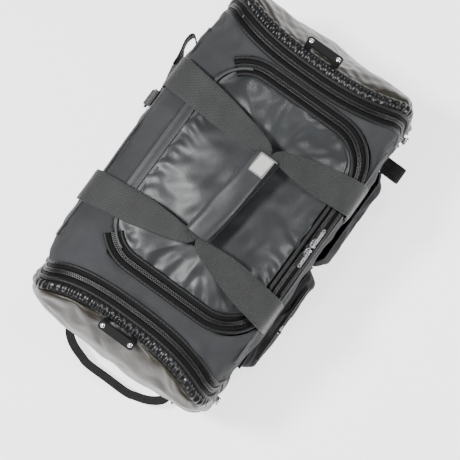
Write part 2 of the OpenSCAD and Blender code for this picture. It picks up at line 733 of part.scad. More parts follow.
module shoulder_webbing() {
    b_route = [hook_b_end, hook_b_end + [0, 0, -12], [leg_x - 14, half_width + 7, 150],
        [leg_x + 14, half_width + 5, 134], [leg_x + 48, half_width + 7, 122], [leg_x + 72, half_width + 16, 114],
        [leg_x + 86, half_width + 27, 112], [leg_x + 88, half_width + 34, 112], [leg_x + 76, half_width + 37, 111],
        [leg_x + 62, half_width + 35, 108], past(pad_route[0], pad_route[1], 10), past(pad_route[0], pad_route[1], skin)];
    b_wide = [[1, 0, 0], [1, 0, 0], [0.8, 0, 0.6], [0.3, 0, 1], [0, 0.1, 1], [0, 0.1, 1], [0, 0.1, 1], [0, 0, 1],
        [0, -0.1, 1], [0, -0.2, 1], [0, -0.3, 0.95], [0, -0.3, 0.95]];
    a_route = [past(pad_route[6], pad_route[5], skin), past(pad_route[6], pad_route[5], 9),
        [adjuster_x + 18, pad_y - 3, adjuster_z], [adjuster_x, pad_y - 3, adjuster_z], [adjuster_x - 18, pad_y - 3, adjuster_z],
        [ring_a[0] + 36, pad_y - 5, 57], [ring_a[0] + 14, pad_y - 6, 62], hook_a_end + [0, 0, -8], hook_a_end];
    a_wide = [[0, 0, 1], [0, 0, 1], [0, 0, 1], [0, 0, 1], [0, 0, 1], [0, 0, 1], [-0.5, 0, 1], [-1, 0, 0.3], [-1, 0, 0]];
    color(black) {
        strap(b_route, b_wide, [for (q = b_route) strap_width], [for (q = b_route) strap_thick]);
        strap(a_route, a_wide, [for (q = a_route) strap_width], [for (q = a_route) strap_thick]);
    }
}
module shoulder_pad() {
    wide = [[0, -0.3, 0.95], [0, -0.3, 0.95], [0, -0.2, 1], [0, -0.1, 1], [0, 0, 1], [0, 0, 1], [0, 0, 1]];
    color(black) strap(pad_route, wide, [36, 54, 62, 62, 60, 52, 36], [7, 9, 9, 9, 9, 9, 7]);
}
module strap_adjuster() {
    color(black) translate([adjuster_x, pad_y - 3, adjuster_z]) rotate([90, 0, 0]) difference() {
        translate([0, 0, -4]) linear_extrude(8) round_plate(30, strap_width + 12, 4);
        translate([-20, -strap_width/2 - 1, -strap_thick/2 - 0.4]) cube([40, strap_width + 2, strap_thick + 0.8]);
    }
}

placed() body_shell();
placed() base_board();
placed() dividers();
placed() skid_rails();
placed() feet();
placed() wheel_housings();
placed() axles();
placed() wheel_hub(1);  // wheel_hub_left
placed() wheel_hub(-1);  // wheel_hub_right
placed() tyre(1);  // tyre_left
placed() tyre(-1);  // tyre_right
placed() bearings(1);  // bearings_left
placed() bearings(-1);  // bearings_right
placed() base_screws();
placed() piping();
placed() main_flap();
placed() main_zip_half(gap, gap + tape_width);  // main_zip_body
placed() main_zip_half(-gap - tape_width, -gap);  // main_zip_flap
placed() color(silver) on_main_zip(-1) slider(0);  // main_slider_a
placed() color(silver) on_main_zip(1) slider(0);  // main_slider_b
placed() color(silver) on_main_zip(-1) pull(0);  // main_pull_a
placed() color(silver) on_main_zip(1) pull(0);  // main_pull_b
placed() end_cap(-1);  // end_cap_a
placed() end_cap(1);  // end_cap_b
placed() end_zip_half(-1, -gap - tape_width, -gap);  // end_zip_body_a
placed() end_zip_half(1, -gap - tape_width, -gap);  // end_zip_body_b
placed() end_zip_half(-1, gap, gap + tape_width);  // end_zip_cap_a
placed() end_zip_half(1, gap, gap + tape_width);  // end_zip_cap_b
placed() color(silver) on_end_zip(-1, false) slider(1);  // end_slider_a_low
placed() color(silver) on_end_zip(-1, true) rotate([0, 0, 180]) slider(1);  // end_slider_a_high
placed() color(silver) on_end_zip(1, false) slider(1);  // end_slider_b_low
placed() color(silver) on_end_zip(1, true) rotate([0, 0, 180]) slider(1);  // end_slider_b_high
placed() color(silver) on_end_zip(-1, false) pull(1);  // end_pull_a_low
placed() color(silver) on_end_zip(-1, true) hanging_pull();  // end_pull_a_high
placed() color(silver) on_end_zip(1, false) pull(1);  // end_pull_b_low
placed() color(silver) on_end_zip(1, true) hanging_pull();  // end_pull_b_high
placed() grab_handle(-1);  // grab_handle_a
placed() grab_handle(1);  // grab_handle_b
placed() grab_rivets(-1);  // grab_rivets_a
placed() grab_rivets(1);  // grab_rivets_b
placed() handle(1, left_fold_y);  // handle_left
placed() handle(-1, right_fold_y);  // handle_right
placed() grip_wrap();
placed() label_patch();
placed() strap_anchors();
placed() zip_pocket();
placed() pocket_zip();
placed() color(silver) on_pocket_zip() slider(0);  // pocket_slider
placed() color(silver) on_pocket_zip() pull(0);  // pocket_pull
placed() slip_pocket();
placed() side_tab();
placed() haul_loop();
placed() haul_brackets();
placed() d_rings();
placed() ring_tabs();
placed() snap_hooks();
placed() shoulder_webbing();
placed() shoulder_pad();
placed() strap_adjuster();
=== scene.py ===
"""Looks of a soft rolling duffel bag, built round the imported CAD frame: sewn fabric panels shaped by
cloth simulation, zips with their teeth, webbing handles, gathered bands, pockets and strap."""

import math

import bpy
import numpy as np
from mathutils import Matrix, Vector


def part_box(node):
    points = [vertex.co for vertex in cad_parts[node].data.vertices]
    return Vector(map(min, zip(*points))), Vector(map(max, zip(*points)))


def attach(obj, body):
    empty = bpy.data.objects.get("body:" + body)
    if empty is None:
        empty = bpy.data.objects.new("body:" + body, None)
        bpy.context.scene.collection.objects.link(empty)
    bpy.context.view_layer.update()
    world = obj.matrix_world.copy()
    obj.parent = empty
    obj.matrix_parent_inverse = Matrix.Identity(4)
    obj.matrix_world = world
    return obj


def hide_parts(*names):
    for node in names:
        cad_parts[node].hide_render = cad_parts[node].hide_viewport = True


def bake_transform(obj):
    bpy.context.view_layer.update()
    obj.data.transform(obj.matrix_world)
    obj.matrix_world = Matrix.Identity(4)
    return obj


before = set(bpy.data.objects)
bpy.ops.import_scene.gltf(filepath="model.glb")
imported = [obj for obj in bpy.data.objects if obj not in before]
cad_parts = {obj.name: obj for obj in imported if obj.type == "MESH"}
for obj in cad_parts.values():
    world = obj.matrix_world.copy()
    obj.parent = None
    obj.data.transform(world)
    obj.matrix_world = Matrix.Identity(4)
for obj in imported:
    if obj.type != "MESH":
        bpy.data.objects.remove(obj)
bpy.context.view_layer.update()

# ---------- driving sizes, in metres, from the frame ----------

SHELL_LOW, SHELL_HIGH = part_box("body_shell")
MID_X = (SHELL_LOW.x + SHELL_HIGH.x) / 2
TRAY_X = (SHELL_HIGH.x - SHELL_LOW.x) / 2
HALF_WIDTH = (SHELL_HIGH.y - SHELL_LOW.y) / 2
TOP_Z, GROUND_Z = SHELL_HIGH.z, SHELL_LOW.z
MID_Z, HALF_HEIGHT = (TOP_Z + GROUND_Z) / 2, (TOP_Z - GROUND_Z) / 2
SQUARENESS = 5.0  # exponent of the rounded-box cross-section
TRAY_Z = 0.066  # height of the base tray's rim
ZIP_TOP_X = TRAY_X - 0.085
ZIP_FOOT_X = TRAY_X - 0.030
HINGE_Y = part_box("main_flap")[1].y
FLAP_EDGE_Y = -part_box("main_flap")[0].y
FLAP_MID_X = (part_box("main_flap")[0].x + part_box("main_flap")[1].x) / 2
FLAP_HALF = (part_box("main_flap")[1].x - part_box("main_flap")[0].x) / 2
FLAP_CORNER = 0.060
GRIP_LOW, GRIP_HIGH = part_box("grip_wrap")
GRIP_MID = (GRIP_LOW + GRIP_HIGH) / 2
WEBBING = 0.050
STRAP = 0.025
SEAM = 0.0120  # from a zip's middle to the edge of the panel beside it

# ---------- the body's surface ----------


def body_y(z):
    share = min(1.0, abs(z - MID_Z) / HALF_HEIGHT)
    return HALF_WIDTH * (1 - share**SQUARENESS) ** (1 / SQUARENESS)


def body_z(y):
    share = np.minimum(0.9999, np.abs(y) / HALF_WIDTH)
    return MID_Z + HALF_HEIGHT * (1 - share**SQUARENESS) ** (1 / SQUARENESS)


def zip_x(z):
    return ZIP_TOP_X + (TOP_Z - z) * (ZIP_FOOT_X - ZIP_TOP_X) / (TOP_Z - TRAY_Z)


def arch(y, z):
    """How far each end zip swings outward at the bag's top corners, where the soft top sags."""
    across = np.clip(np.abs(y) / 0.140, 0, 1)
    up = np.clip((np.asarray(z) - 0.205) / 0.055, 0, 1)
    return 0.019 * across**2.6 * up * up * (3 - 2 * up)


def sag(points):
    """Draws the soft upper corners in towards the middle, most at end A's left corner."""
    p = np.array(points, float)
    along = np.clip((np.abs(p[..., 0] - MID_X) - 0.165) / 0.080, 0, 1)
    up = np.clip((p[..., 2] - 0.135) / 0.095, 0, 1)
    amount = np.where((p[..., 0] < MID_X) & (p[..., 1] > 0), 0.115, 0.050)
    p[..., 1] *= 1 - amount * along * along * (3 - 2 * along) * up * up * (3 - 2 * up)
    return p


def outline_table():
    """The cross-section from the tray's left rim over the top to its right rim, by length along it."""
    foot = math.asin(((MID_Z - TRAY_Z) / HALF_HEIGHT) ** (SQUARENESS / 2))
    t = np.linspace(-foot, math.pi + foot, 4001)
    power = 2 / SQUARENESS
    y = HALF_WIDTH * np.sign(np.cos(t)) * np.abs(np.cos(t)) ** power
    z = MID_Z + HALF_HEIGHT * np.sign(np.sin(t)) * np.abs(np.sin(t)) ** power
    steps = np.hypot(np.diff(y), np.diff(z))
    return np.concatenate([[0], np.cumsum(steps)]), y, z


OUT_S, OUT_Y, OUT_Z = outline_table()
GIRTH = OUT_S[-1]


def section(s):
    """Point and outward normal of the cross-section at length s, as (y, z, ny, nz)."""
    step = 0.0015
    y, z = np.interp(s, OUT_S, OUT_Y), np.interp(s, OUT_S, OUT_Z)
    dy = np.interp(s + step, OUT_S, OUT_Y) - np.interp(s - step, OUT_S, OUT_Y)
    dz = np.interp(s + step, OUT_S, OUT_Z) - np.interp(s - step, OUT_S, OUT_Z)
    size = np.hypot(dy, dz)
    return y, z, dz / size, -dy / size


def top_normal(y):
    slope = (body_z(y + 0.0005) - body_z(y - 0.0005)) / 0.001
    size = np.sqrt(1 + slope**2)
    return -slope / size, 1 / size


def flap_distance(x, y, grow=0.0):
    """Signed distance in plan from the flap's rounded outline; negative inside."""
    mid_y = (HINGE_Y - FLAP_EDGE_Y) / 2
    half_y = (HINGE_Y + FLAP_EDGE_Y) / 2
    qx = np.abs(x - FLAP_MID_X) - (FLAP_HALF + grow - FLAP_CORNER)
    qy = np.abs(y - mid_y) - (half_y + grow - FLAP_CORNER)
    outside = np.hypot(np.maximum(qx, 0), np.maximum(qy, 0))
    return outside + np.minimum(np.maximum(qx, qy), 0) - FLAP_CORNER


def seam_at(y):
    """Half the zip's width beside the lid, closing to nothing where the zip stops short of the hinge."""
    q = np.clip((0.090 - y) / 0.013, 0.04, 1)
    return SEAM * q * q * (3 - 2 * q)


def pull_to_outline(x, y, grow, which):
    """Moves the chosen plan points onto the flap's outline."""
    for _ in range(3):
        d = flap_distance(x, y, grow)
        e = 1e-5
        gx = (flap_distance(x + e, y, grow) - flap_distance(x - e, y, grow)) / (2 * e)
        gy = (flap_distance(x, y + e, grow) - flap_distance(x, y - e, grow)) / (2 * e)
        x = np.where(which, x - d * gx, x)
        y = np.where(which, y - d * gy, y)
    return x, y


# ---------- smooth noise ----------


class Ripple:
    """Smooth repeatable noise: a few sine waves in random directions."""

    def __init__(self, seed, wavelength, waves=9, spread=0.6):
        rng = np.random.RandomState(seed)
        lengths = wavelength * (1 + spread * (rng.rand(waves) * 2 - 1))
        direction = rng.normal(size=(waves, 3))
        direction /= np.linalg.norm(direction, axis=1)[:, None]
        self.k = 2 * math.pi * direction / lengths[:, None]
        self.phase = rng.rand(waves) * 2 * math.pi

    def __call__(self, points):
        return np.sin(points @ self.k.T + self.phase).mean(axis=-1) * 2


# ---------- meshes ----------


def set_uvs(mesh, layer, uvs):
    """Gives each corner of each face the UV of its vertex."""
    corner = np.zeros(len(mesh.loops), np.int32)
    mesh.loops.foreach_get("vertex_index", corner)
    layer.data.foreach_set("uv", np.asarray(uvs, np.float32)[corner].ravel())


def new_object(name, points, faces, uvs, smooth=True):
    mesh = bpy.data.meshes.new(name)
    corners = [tuple(int(i) for i in f) for f in faces]
    mesh.from_pydata([tuple(p) for p in np.asarray(points, float)], [], corners)
    set_uvs(mesh, mesh.uv_layers.new(name="UVMap"), uvs)
    mesh.validate()
    if smooth:
        mesh.polygons.foreach_set("use_smooth", [True] * len(mesh.polygons))
    obj = bpy.data.objects.new(name, mesh)
    bpy.context.scene.collection.objects.link(obj)
    return obj


def coordinates(obj):
    co = np.zeros(len(obj.data.vertices) * 3, np.float32)
    obj.data.vertices.foreach_get("co", co)
    return co.reshape(-1, 3).astype(float)


def set_coordinates(obj, points):
    obj.data.vertices.foreach_set("co", np.asarray(points, np.float32).ravel())
    obj.data.update()


def apply_modifiers(obj):
    """Replaces obj's mesh with what its modifiers make of it."""
    graph = bpy.context.evaluated_depsgraph_get()
    graph.update()
    mesh = bpy.data.meshes.new_from_object(obj.evaluated_get(graph))
    mesh.name = obj.name
    obj.modifiers.clear()
    obj.data = mesh
    return obj


def normals_of(obj):
    out = np.zeros(len(obj.data.vertices) * 3, np.float32)
    obj.data.vertex_normals.foreach_get("vector", out)
    return out.reshape(-1, 3).astype(float)


def grid_faces(rows, columns, keep=None, wrap=False):
    faces = []
    for j in range(rows - 1):
        for i in range(columns if wrap else columns - 1):
            if keep is None or keep[j, i]:
                a, b = j * columns + i, j * columns + (i + 1) % columns
                faces.append((a, b, b + columns, a + columns))
    return faces


def no_uv(count):
    return np.zeros((count, 2))


def drop_loose(points, faces, *arrays):
    """Leaves out points that no face uses, and their rows in the other arrays."""
    used = np.zeros(len(points), bool)
    for f in faces:
        used[list(f)] = True
    index = np.cumsum(used) - 1
    return points[used], [tuple(index[list(f)]) for f in faces], [a[used] for a in arrays]


def grid_object(name, points, uvs):
    """A mesh over a grid of points, given in rows and columns."""
    return new_object(name, points.reshape(-1, 3), grid_faces(*points.shape[:2]), uvs.reshape(-1, 2))


def simulate(obj, pins, swell, puff, limit, bend, frames=20):
    """Blender's Cloth on a sewn panel: its cut is a little larger than its frame, so it puckers and fills."""
    rest = coordinates(obj)
    group = obj.vertex_groups.new(name="pin")
    for level in np.unique(np.round(pins, 2)):
        chosen = np.nonzero(np.round(pins, 2) == level)[0]
        if level > 0:
            group.add([int(i) for i in chosen], float(level), "REPLACE")
    cloth = obj.modifiers.new("Cloth", "CLOTH")
    cloth.settings.quality = 5
    cloth.settings.mass = 0.12
    cloth.settings.tension_stiffness = 30
    cloth.settings.compression_stiffness = 30
    cloth.settings.shear_stiffness = 12
    cloth.settings.bending_stiffness = bend
    cloth.settings.vertex_group_mass = "pin"
    cloth.settings.shrink_min = -swell
    cloth.settings.use_pressure = True
    cloth.settings.uniform_pressure_force = puff
    cloth.settings.effector_weights.gravity = 0
    cloth.collision_settings.use_collision = False
    cloth.point_cache.frame_start = 1
    cloth.point_cache.frame_end = frames
    scene = bpy.context.scene
    for number in range(1, frames + 1):
        scene.frame_set(number)
    apply_modifiers(obj)
    scene.frame_set(1)
    obj.vertex_groups.clear()
    moved = coordinates(obj) - rest
    size = np.linalg.norm(moved, axis=1)[:, None] + 1e-9
    set_coordinates(obj, rest + moved / size * limit * np.tanh(size / limit))
    return obj


def finish_cloth(obj, thickness, inner_slot=None, levels=1):
    if levels:
        subdivide = obj.modifiers.new("Subdivision", "SUBSURF")
        subdivide.levels = subdivide.render_levels = levels
        subdivide.boundary_smooth = "PRESERVE_CORNERS"
    solid = obj.modifiers.new("Thickness", "SOLIDIFY")
    solid.thickness = thickness
    solid.offset = -1
    if inner_slot is not None:
        solid.material_offset = inner_slot
        solid.material_offset_rim = inner_slot
    return apply_modifiers(obj)


def panel(name, points, uvs, pins, swell, puff, limit, thickness, seed, materials, keep=None, relief=0.0012,
          bend=0.6):
    """A sewn fabric panel on a grid of points, pinned where pins is 1, with its lining inside."""
    rows, columns = points.shape[:2]
    flat, flat_uv, flat_pin = points.reshape(-1, 3), uvs.reshape(-1, 2), pins.reshape(-1)
    faces = grid_faces(rows, columns, keep)
    flat, faces, (flat_uv, flat_pin) = drop_loose(flat, faces, flat_uv, flat_pin)
    obj = new_object(name, flat, faces, flat_uv)
    free = 1 - flat_pin[:, None]
    broad, fine = Ripple(seed, 0.11), Ripple(seed + 1, 0.035)
    lift = relief * (broad(flat) + 0.4 * fine(flat))[:, None]
    set_coordinates(obj, flat + normals_of(obj) * lift * free)
    simulate(obj, flat_pin, swell, puff, limit, bend)
    for m in materials:
        obj.data.materials.append(m)
    return finish_cloth(obj, thickness, 1)


# ---------- sweeps along a route ----------


class Route:
    """Points with a tangent, an outward normal and a side direction at each."""

    def __init__(self, points, normals, closed=False):
        self.p = np.asarray(points, float)
        self.n = np.asarray(normals, float)
        ahead, behind = np.roll(self.p, -1, 0), np.roll(self.p, 1, 0)
        t = ahead - behind
        if not closed:
            t[0], t[-1] = self.p[1] - self.p[0], self.p[-1] - self.p[-2]
        self.t = t / np.linalg.norm(t, axis=1)[:, None]
        self.n -= (self.n * self.t).sum(1)[:, None] * self.t
        self.n /= np.linalg.norm(self.n, axis=1)[:, None]
        self.side = np.cross(self.n, self.t)
        self.length = np.concatenate([[0], np.cumsum(np.linalg.norm(np.diff(self.p, axis=0), axis=1))])

    def at(self, s):
        """Point, tangent, normal and side at length s."""
        pick = lambda a: np.stack([np.interp(s, self.length, a[:, k]) for k in range(3)], -1)
        return pick(self.p), pick(self.t), pick(self.n), pick(self.side)


def smooth_points(points, step=0.004):
    """A Catmull-Rom curve through given points, evenly stepped; extra columns are carried along."""
    q = np.asarray(points, float)
    q = np.vstack([2 * q[0] - q[1], q, 2 * q[-1] - q[-2]])
    out = []
    for i in range(1, len(q) - 2):
        a, b, c, d = q[i - 1], q[i], q[i + 1], q[i + 2]
        square, cube = 2 * a - 5 * b + 4 * c - d, 3 * b - a - 3 * c + d
        for t in np.linspace(0, 1, 24, endpoint=False):
            out.append(0.5 * (2 * b + (c - a) * t + square * t**2 + cube * t**3))
    out.append(q[-2])
    out = np.array(out)
    length = np.concatenate([[0], np.cumsum(np.linalg.norm(np.diff(out[:, :3], axis=0), axis=1))])
    even = np.linspace(0, length[-1], max(8, int(length[-1] / step)))
    return np.stack([np.interp(even, length, out[:, k]) for k in range(out.shape[1])], -1)


def sweep(name, route, profile, widths=None, heights=None, closed_ends=True):
    """Carries a closed profile of (side, lift) points along a route; UVs are metres along and round it."""
    profile = np.asarray(profile, float)
    count, n = len(route.p), len(profile)
    widths = np.ones(count) if widths is None else widths
    heights = np.ones(count) if heights is None else heights
    points = (route.p[:, None] + route.side[:, None] * (profile[None, :, 0] * widths[:, None])[..., None]
              + route.n[:, None] * (profile[None, :, 1] * heights[:, None])[..., None])
    round_by = np.concatenate([[0], np.cumsum(np.linalg.norm(np.diff(profile, axis=0), axis=1))])
    uvs = np.stack(np.broadcast_arrays(route.length[:, None], round_by[None, :]), -1)
    faces = [f[::-1] for f in grid_faces(count, n, wrap=True)]
    if closed_ends:
        faces += [tuple(range(n)), tuple(range(count * n - 1, count * n - n - 1, -1))]
    return new_object(name, points.reshape(-1, 3), faces, uvs.reshape(-1, 2))


def flat_profile(width, thick, lift=0.0):
    """A webbing's section: flat, with rounded edges."""
    edge_steps = 3
    r = thick / 2
    right = [(width / 2 - r + r * math.sin(a), lift + r - r * math.cos(a))
             for a in np.linspace(0, math.pi, 2 * edge_steps)]
    left = [(-x, 2 * (lift + r) - z) for x, z in right]
    across = np.linspace(width / 2 - r, -(width / 2 - r), 7)[1:-1]
    return right + [(x, lift + thick) for x in across] + left + [(-x, lift) for x in across]


def round_profile(radius, lift, across=0.0, count=10):
    return [(across + radius * math.sin(a), lift - radius * math.cos(a))
            for a in np.linspace(0, 2 * math.pi, count, endpoint=False)]


def boxes_along(name, route, offset, size, pitch, stagger=0.0, bevel=0.25):
    """Small blocks at an even pitch along a route, such as zip teeth or stitches."""
    at = np.arange(pitch * (0.5 + stagger), route.length[-1] - pitch, pitch)
    p, t, n, side = route.at(at)
    lx, ly, lz = size
    corner = [(-1, -1), (1, -1), (1, 1), (-1, 1)]
    levels = [(1.0, 0.0), (1.0, 1 - bevel), (1 - bevel, 1.0)]
    points, faces = [], []
    for k in range(len(at)):
        base = len(points)
        for share, height in levels:
            for cx, cy in corner:
                points.append(p[k] + t[k] * cx * lx / 2 * share
                              + side[k] * (offset[0] + cy * ly / 2 * share)
                              + n[k] * (offset[1] + lz * height))
        faces.append((base + 3, base + 2, base + 1, base))
        faces.append((base + 8, base + 9, base + 10, base + 11))
        for level in range(2):
            for c in range(4):
                a, b = base + 4 * level + c, base + 4 * level + (c + 1) % 4
                faces.append((a, b, b + 4, a + 4))
    return new_object(name, points, faces, [(0, 0)] * len(points), smooth=False)


# ---------- materials ----------


class Paint:
    """A node material under construction, with short ways to add what most finishes share."""

    def __init__(self, name, rough=0.6, sheen=0.0, coat=0.0, metal=0.0, specular=0.5, coat_rough=0.3):
        self.m = bpy.data.materials.new(name)
        self.m.use_nodes = True
        self.tree = self.m.node_tree
        self.shader = self.tree.nodes["Principled BSDF"]
        inputs = self.shader.inputs
        inputs["Roughness"].default_value = rough
        inputs["Metallic"].default_value = metal
        inputs["Specular IOR Level"].default_value = specular
        inputs["Sheen Weight"].default_value = sheen
        inputs["Sheen Roughness"].default_value = 0.4
        inputs["Coat Weight"].default_value = coat
        inputs["Coat Roughness"].default_value = coat_rough
        self.height = None

    def node(self, kind, **values):
        node = self.tree.nodes.new(kind)
        for key, value in values.items():
            if hasattr(node, key):
                setattr(node, key, value)
            else:
                node.inputs[key].default_value = value
        return node

    def link(self, a, b):
        self.tree.links.new(a, b)

    def math(self, operation, a, b=None):
        node = self.node("ShaderNodeMath", operation=operation)
        for slot, value in zip(node.inputs, (a, b)):
            if value is None:
                continue
            if isinstance(value, (int, float)):
                slot.default_value = value
            else:
                self.link(value, slot)
        return node.outputs[0]

    def place(self, use_uv=False):
        node = self.node("ShaderNodeTexCoord")
        return node.outputs["UV" if use_uv else "Object"]

    def noise(self, scale, detail=3.0, rough=0.55, use_uv=False):
        node = self.node("ShaderNodeTexNoise", Scale=scale, Detail=detail, Roughness=rough)
        self.link(self.place(use_uv), node.inputs["Vector"])
        return node.outputs["Fac"]

    def mix(self, share, a, b):
        """A colour between a and b, either fixed colours or sockets."""
        node = self.node("ShaderNodeMix", data_type="RGBA")
        self.link(share, node.inputs["Factor"])
        for slot, value in ((6, a), (7, b)):  # the node's two colour inputs
            if isinstance(value, tuple):
                node.inputs[slot].default_value = (*value, 1)
            else:
                self.link(value, node.inputs[slot])
        return node.outputs[2]

    def ramp(self, value, low, high):
        node = self.node("ShaderNodeMapRange")
        self.link(value, node.inputs["Value"])
        node.inputs["From Min"].default_value = low
        node.inputs["From Max"].default_value = high
        return node.outputs[0]

    def colour(self, socket):
        self.link(socket, self.shader.inputs["Base Color"])

    def rough(self, value, low, high):
        node = self.node("ShaderNodeMapRange")
        self.link(value, node.inputs["Value"])
        node.inputs["To Min"].default_value = low
        node.inputs["To Max"].default_value = high
        self.link(node.outputs[0], self.shader.inputs["Roughness"])

    def bump(self, height, strength, distance):
        node = self.node("ShaderNodeBump", Strength=strength, Distance=distance)
        self.link(height, node.inputs["Height"])
        if self.height is not None:
            self.link(self.height, node.inputs["Normal"])
        self.height = node.outputs[0]
        self.link(self.height, self.shader.inputs["Normal"])

    def weave(self, pitch_u, pitch_v):
        """Height of a plain weave laid out in UV metres: threads going over and under in turn."""
        split = self.node("ShaderNodeSeparateXYZ")
        self.link(self.place(True), split.inputs[0])
        u = self.math("MULTIPLY", split.outputs[0], math.pi / pitch_u)
        v = self.math("MULTIPLY", split.outputs[1], math.pi / pitch_v)
        over = self.math("MULTIPLY", self.math("SINE", u), self.math("COSINE", v))
        under = self.math("MULTIPLY", self.math("COSINE", u), self.math("SINE", v))
        lower = self.math("MULTIPLY", self.math("ABSOLUTE", under), 0.6)
        return self.math("ADD", self.math("ABSOLUTE", over), lower)


def shade(colour, factor):
    return tuple(min(1.0, c * factor) for c in colour)


def coated_fabric(name, colour, rough=0.36, sheen=0.02):
    """Smooth coated cloth: soft gloss, faint pebble, uneven tone and rubbed lighter creases."""
    paint = Paint(name, rough=rough, sheen=sheen, specular=0.32)
    tone = paint.ramp(paint.noise(9, 4), 0.3, 0.7)
    base = paint.mix(tone, shade(colour, 0.78), shade(colour, 1.2))
    rubbed = paint.ramp(paint.noise(60, 5, 0.7), 0.62, 0.8)
    paint.colour(paint.mix(rubbed, base, shade(colour, 1.35)))
    paint.rough(paint.noise(35, 4), rough - 0.06, rough + 0.12)
    paint.bump(paint.noise(1400, 2), 0.18, 0.0004)
    paint.bump(paint.noise(160, 3), 0.12, 0.0012)
    return paint.m


def woven_fabric(name, colour, pitch=0.0011, rough=0.82, sheen=0.0, tint=None):
    """Plain-woven polyester, threads visible close up, with a slight cloud of tone."""
    paint = Paint(name, rough=rough, sheen=sheen, specular=0.12)
    threads = paint.weave(pitch, pitch)
    tone = paint.ramp(paint.noise(14, 4), 0.3, 0.7)
    base = paint.mix(tone, shade(colour, 0.75), shade(tint or colour, 1.2))
    paint.colour(paint.mix(paint.ramp(threads, 0.2, 1.3), shade(colour, 0.45), base))
    paint.rough(paint.noise(40, 3), rough - 0.1, rough + 0.1)
    paint.bump(threads, 0.35, 0.0003)
    paint.bump(paint.noise(120, 3), 0.2, 0.0010)
    return paint.m


def webbing_material(name, colour, rough=0.6, sheen=0.03):
    """Heavy basket-woven webbing with ribs across it."""
    paint = Paint(name, rough=rough, sheen=sheen, specular=0.32)
    threads = paint.weave(0.0036, 0.0030)
    tone = paint.ramp(paint.noise(30, 4), 0.3, 0.7)
    base = paint.mix(tone, shade(colour, 0.8), shade(colour, 1.2))
    paint.colour(paint.mix(paint.ramp(threads, 0.15, 1.2), shade(colour, 0.25), base))
    paint.rough(threads, rough + 0.15, rough - 0.1)
    paint.bump(threads, 0.9, 0.0007)
    paint.bump(paint.noise(900, 2), 0.25, 0.0003)
    return paint.m


def mesh_material(name, colour):
    """Spacer mesh with a herringbone knit."""
    paint = Paint(name, rough=0.75, sheen=0.02, specular=0.2)
    split = paint.node("ShaderNodeSeparateXYZ")
    paint.link(paint.place(True), split.inputs[0])
    lean = paint.math("PINGPONG", split.outputs[1], 0.004)
    slanted = paint.math("ADD", split.outputs[0], lean)
    rows = paint.math("SINE", paint.math("MULTIPLY", slanted, math.pi / 0.0013))
    paint.colour(paint.mix(paint.ramp(rows, -0.6, 0.8), shade(colour, 0.3), shade(colour, 1.8)))
    paint.bump(rows, 0.8, 0.0008)
    paint.bump(paint.noise(500, 2), 0.3, 0.0004)
    return paint.m


def moulded_plastic(name, colour, rough=0.5):
    paint = Paint(name, rough=rough, specular=0.5)
    tone = paint.ramp(paint.noise(25, 4), 0.3, 0.7)
    paint.colour(paint.mix(tone, shade(colour, 0.8), shade(colour, 1.25)))
    paint.rough(paint.noise(80, 4), rough - 0.1, rough + 0.15)
    paint.bump(paint.noise(1200, 2), 0.2, 0.0004)
    return paint.m


def rubber(name, colour):
    paint = Paint(name, rough=0.8, specular=0.3)
    scuffs = paint.ramp(paint.noise(70, 5, 0.7), 0.55, 0.75)
    paint.colour(paint.mix(scuffs, colour, shade(colour, 2.2)))
    paint.bump(paint.noise(600, 3), 0.35, 0.0006)
    return paint.m


def metal(name, colour, rough=0.22, wear=0.5):
    """Plated metal with fine scratches and duller worn spots."""
    paint = Paint(name, rough=rough, metal=1.0)
    worn = paint.ramp(paint.noise(220, 5, 0.7), 0.5, 0.75)
    paint.colour(paint.mix(worn, colour, shade(colour, wear)))
    paint.rough(paint.noise(500, 4), rough - 0.08, rough + 0.18)
    paint.bump(paint.noise(1500, 2), 0.1, 0.0002)
    return paint.m


def fuzzy(name, colour):
    """Hook-and-loop tape."""
    paint = Paint(name, rough=0.95, sheen=0.05, specular=0.15)
    loops = paint.ramp(paint.noise(900, 3, 0.7), 0.35, 0.7)
    paint.colour(paint.mix(loops, shade(colour, 0.3), shade(colour, 2.2)))
    paint.bump(paint.noise(1100, 3, 0.8), 1.0, 0.0012)
    return paint.m


GREY = coated_fabric("coated_grey", (0.030, 0.032, 0.034), rough=0.37)
TAUPE = coated_fabric("coated_taupe", (0.020, 0.0165, 0.0110), rough=0.34)
# the satin's near-black colour is painted shade: it darkens the gathered band beside each end zip to stand
# for the shade there, while the band's gathers are real
SHADE_DARK_SATIN = coated_fabric("gathered_satin_painted_shade", (0.008, 0.008, 0.009), rough=0.27)
BODY = woven_fabric("body_polyester", (0.0060, 0.0060, 0.0070), tint=(0.0120, 0.0105, 0.0135))
POCKET = woven_fabric("pocket_polyester", (0.026, 0.023, 0.027), tint=(0.040, 0.035, 0.041))
LINING = woven_fabric("lining", (0.060, 0.062, 0.066), pitch=0.0008, rough=0.8)
GREY_WEBBING = webbing_material("grey_webbing", (0.042, 0.044, 0.043))
BLACK_WEBBING = webbing_material("black_webbing", (0.0035, 0.0035, 0.004))
TAPE = woven_fabric("zip_tape", (0.006, 0.006, 0.0065), pitch=0.0009, rough=0.65)
TEETH = moulded_plastic("zip_teeth", (0.005, 0.005, 0.0055), rough=0.45)
CORD = coated_fabric("zip_cord", (0.006, 0.006, 0.0065), rough=0.5)
PIPING = coated_fabric("light_piping", (0.048, 0.050, 0.052), rough=0.42)
AIR_MESH = mesh_material("air_mesh", (0.014, 0.0145, 0.016))
FUZZ = fuzzy("hook_tape", (0.012, 0.012, 0.013))
LABEL = woven_fabric("blank_label", (0.72, 0.72, 0.70), pitch=0.0007, rough=0.7, sheen=0.1)
LABEL_EDGE = woven_fabric("label_border", (0.30, 0.30, 0.30), pitch=0.0007, rough=0.7)
PALE_THREAD = webbing_material("pale_thread", (0.33, 0.33, 0.32))
PLASTIC = moulded_plastic("moulded_black", (0.022, 0.022, 0.024))
HUB = moulded_plastic("hub_grey", (0.070, 0.070, 0.075), rough=0.4)
RUBBER = rubber("black_rubber", (0.006, 0.006, 0.006))
TYRE = rubber("tyre_rubber", (0.022, 0.022, 0.023))
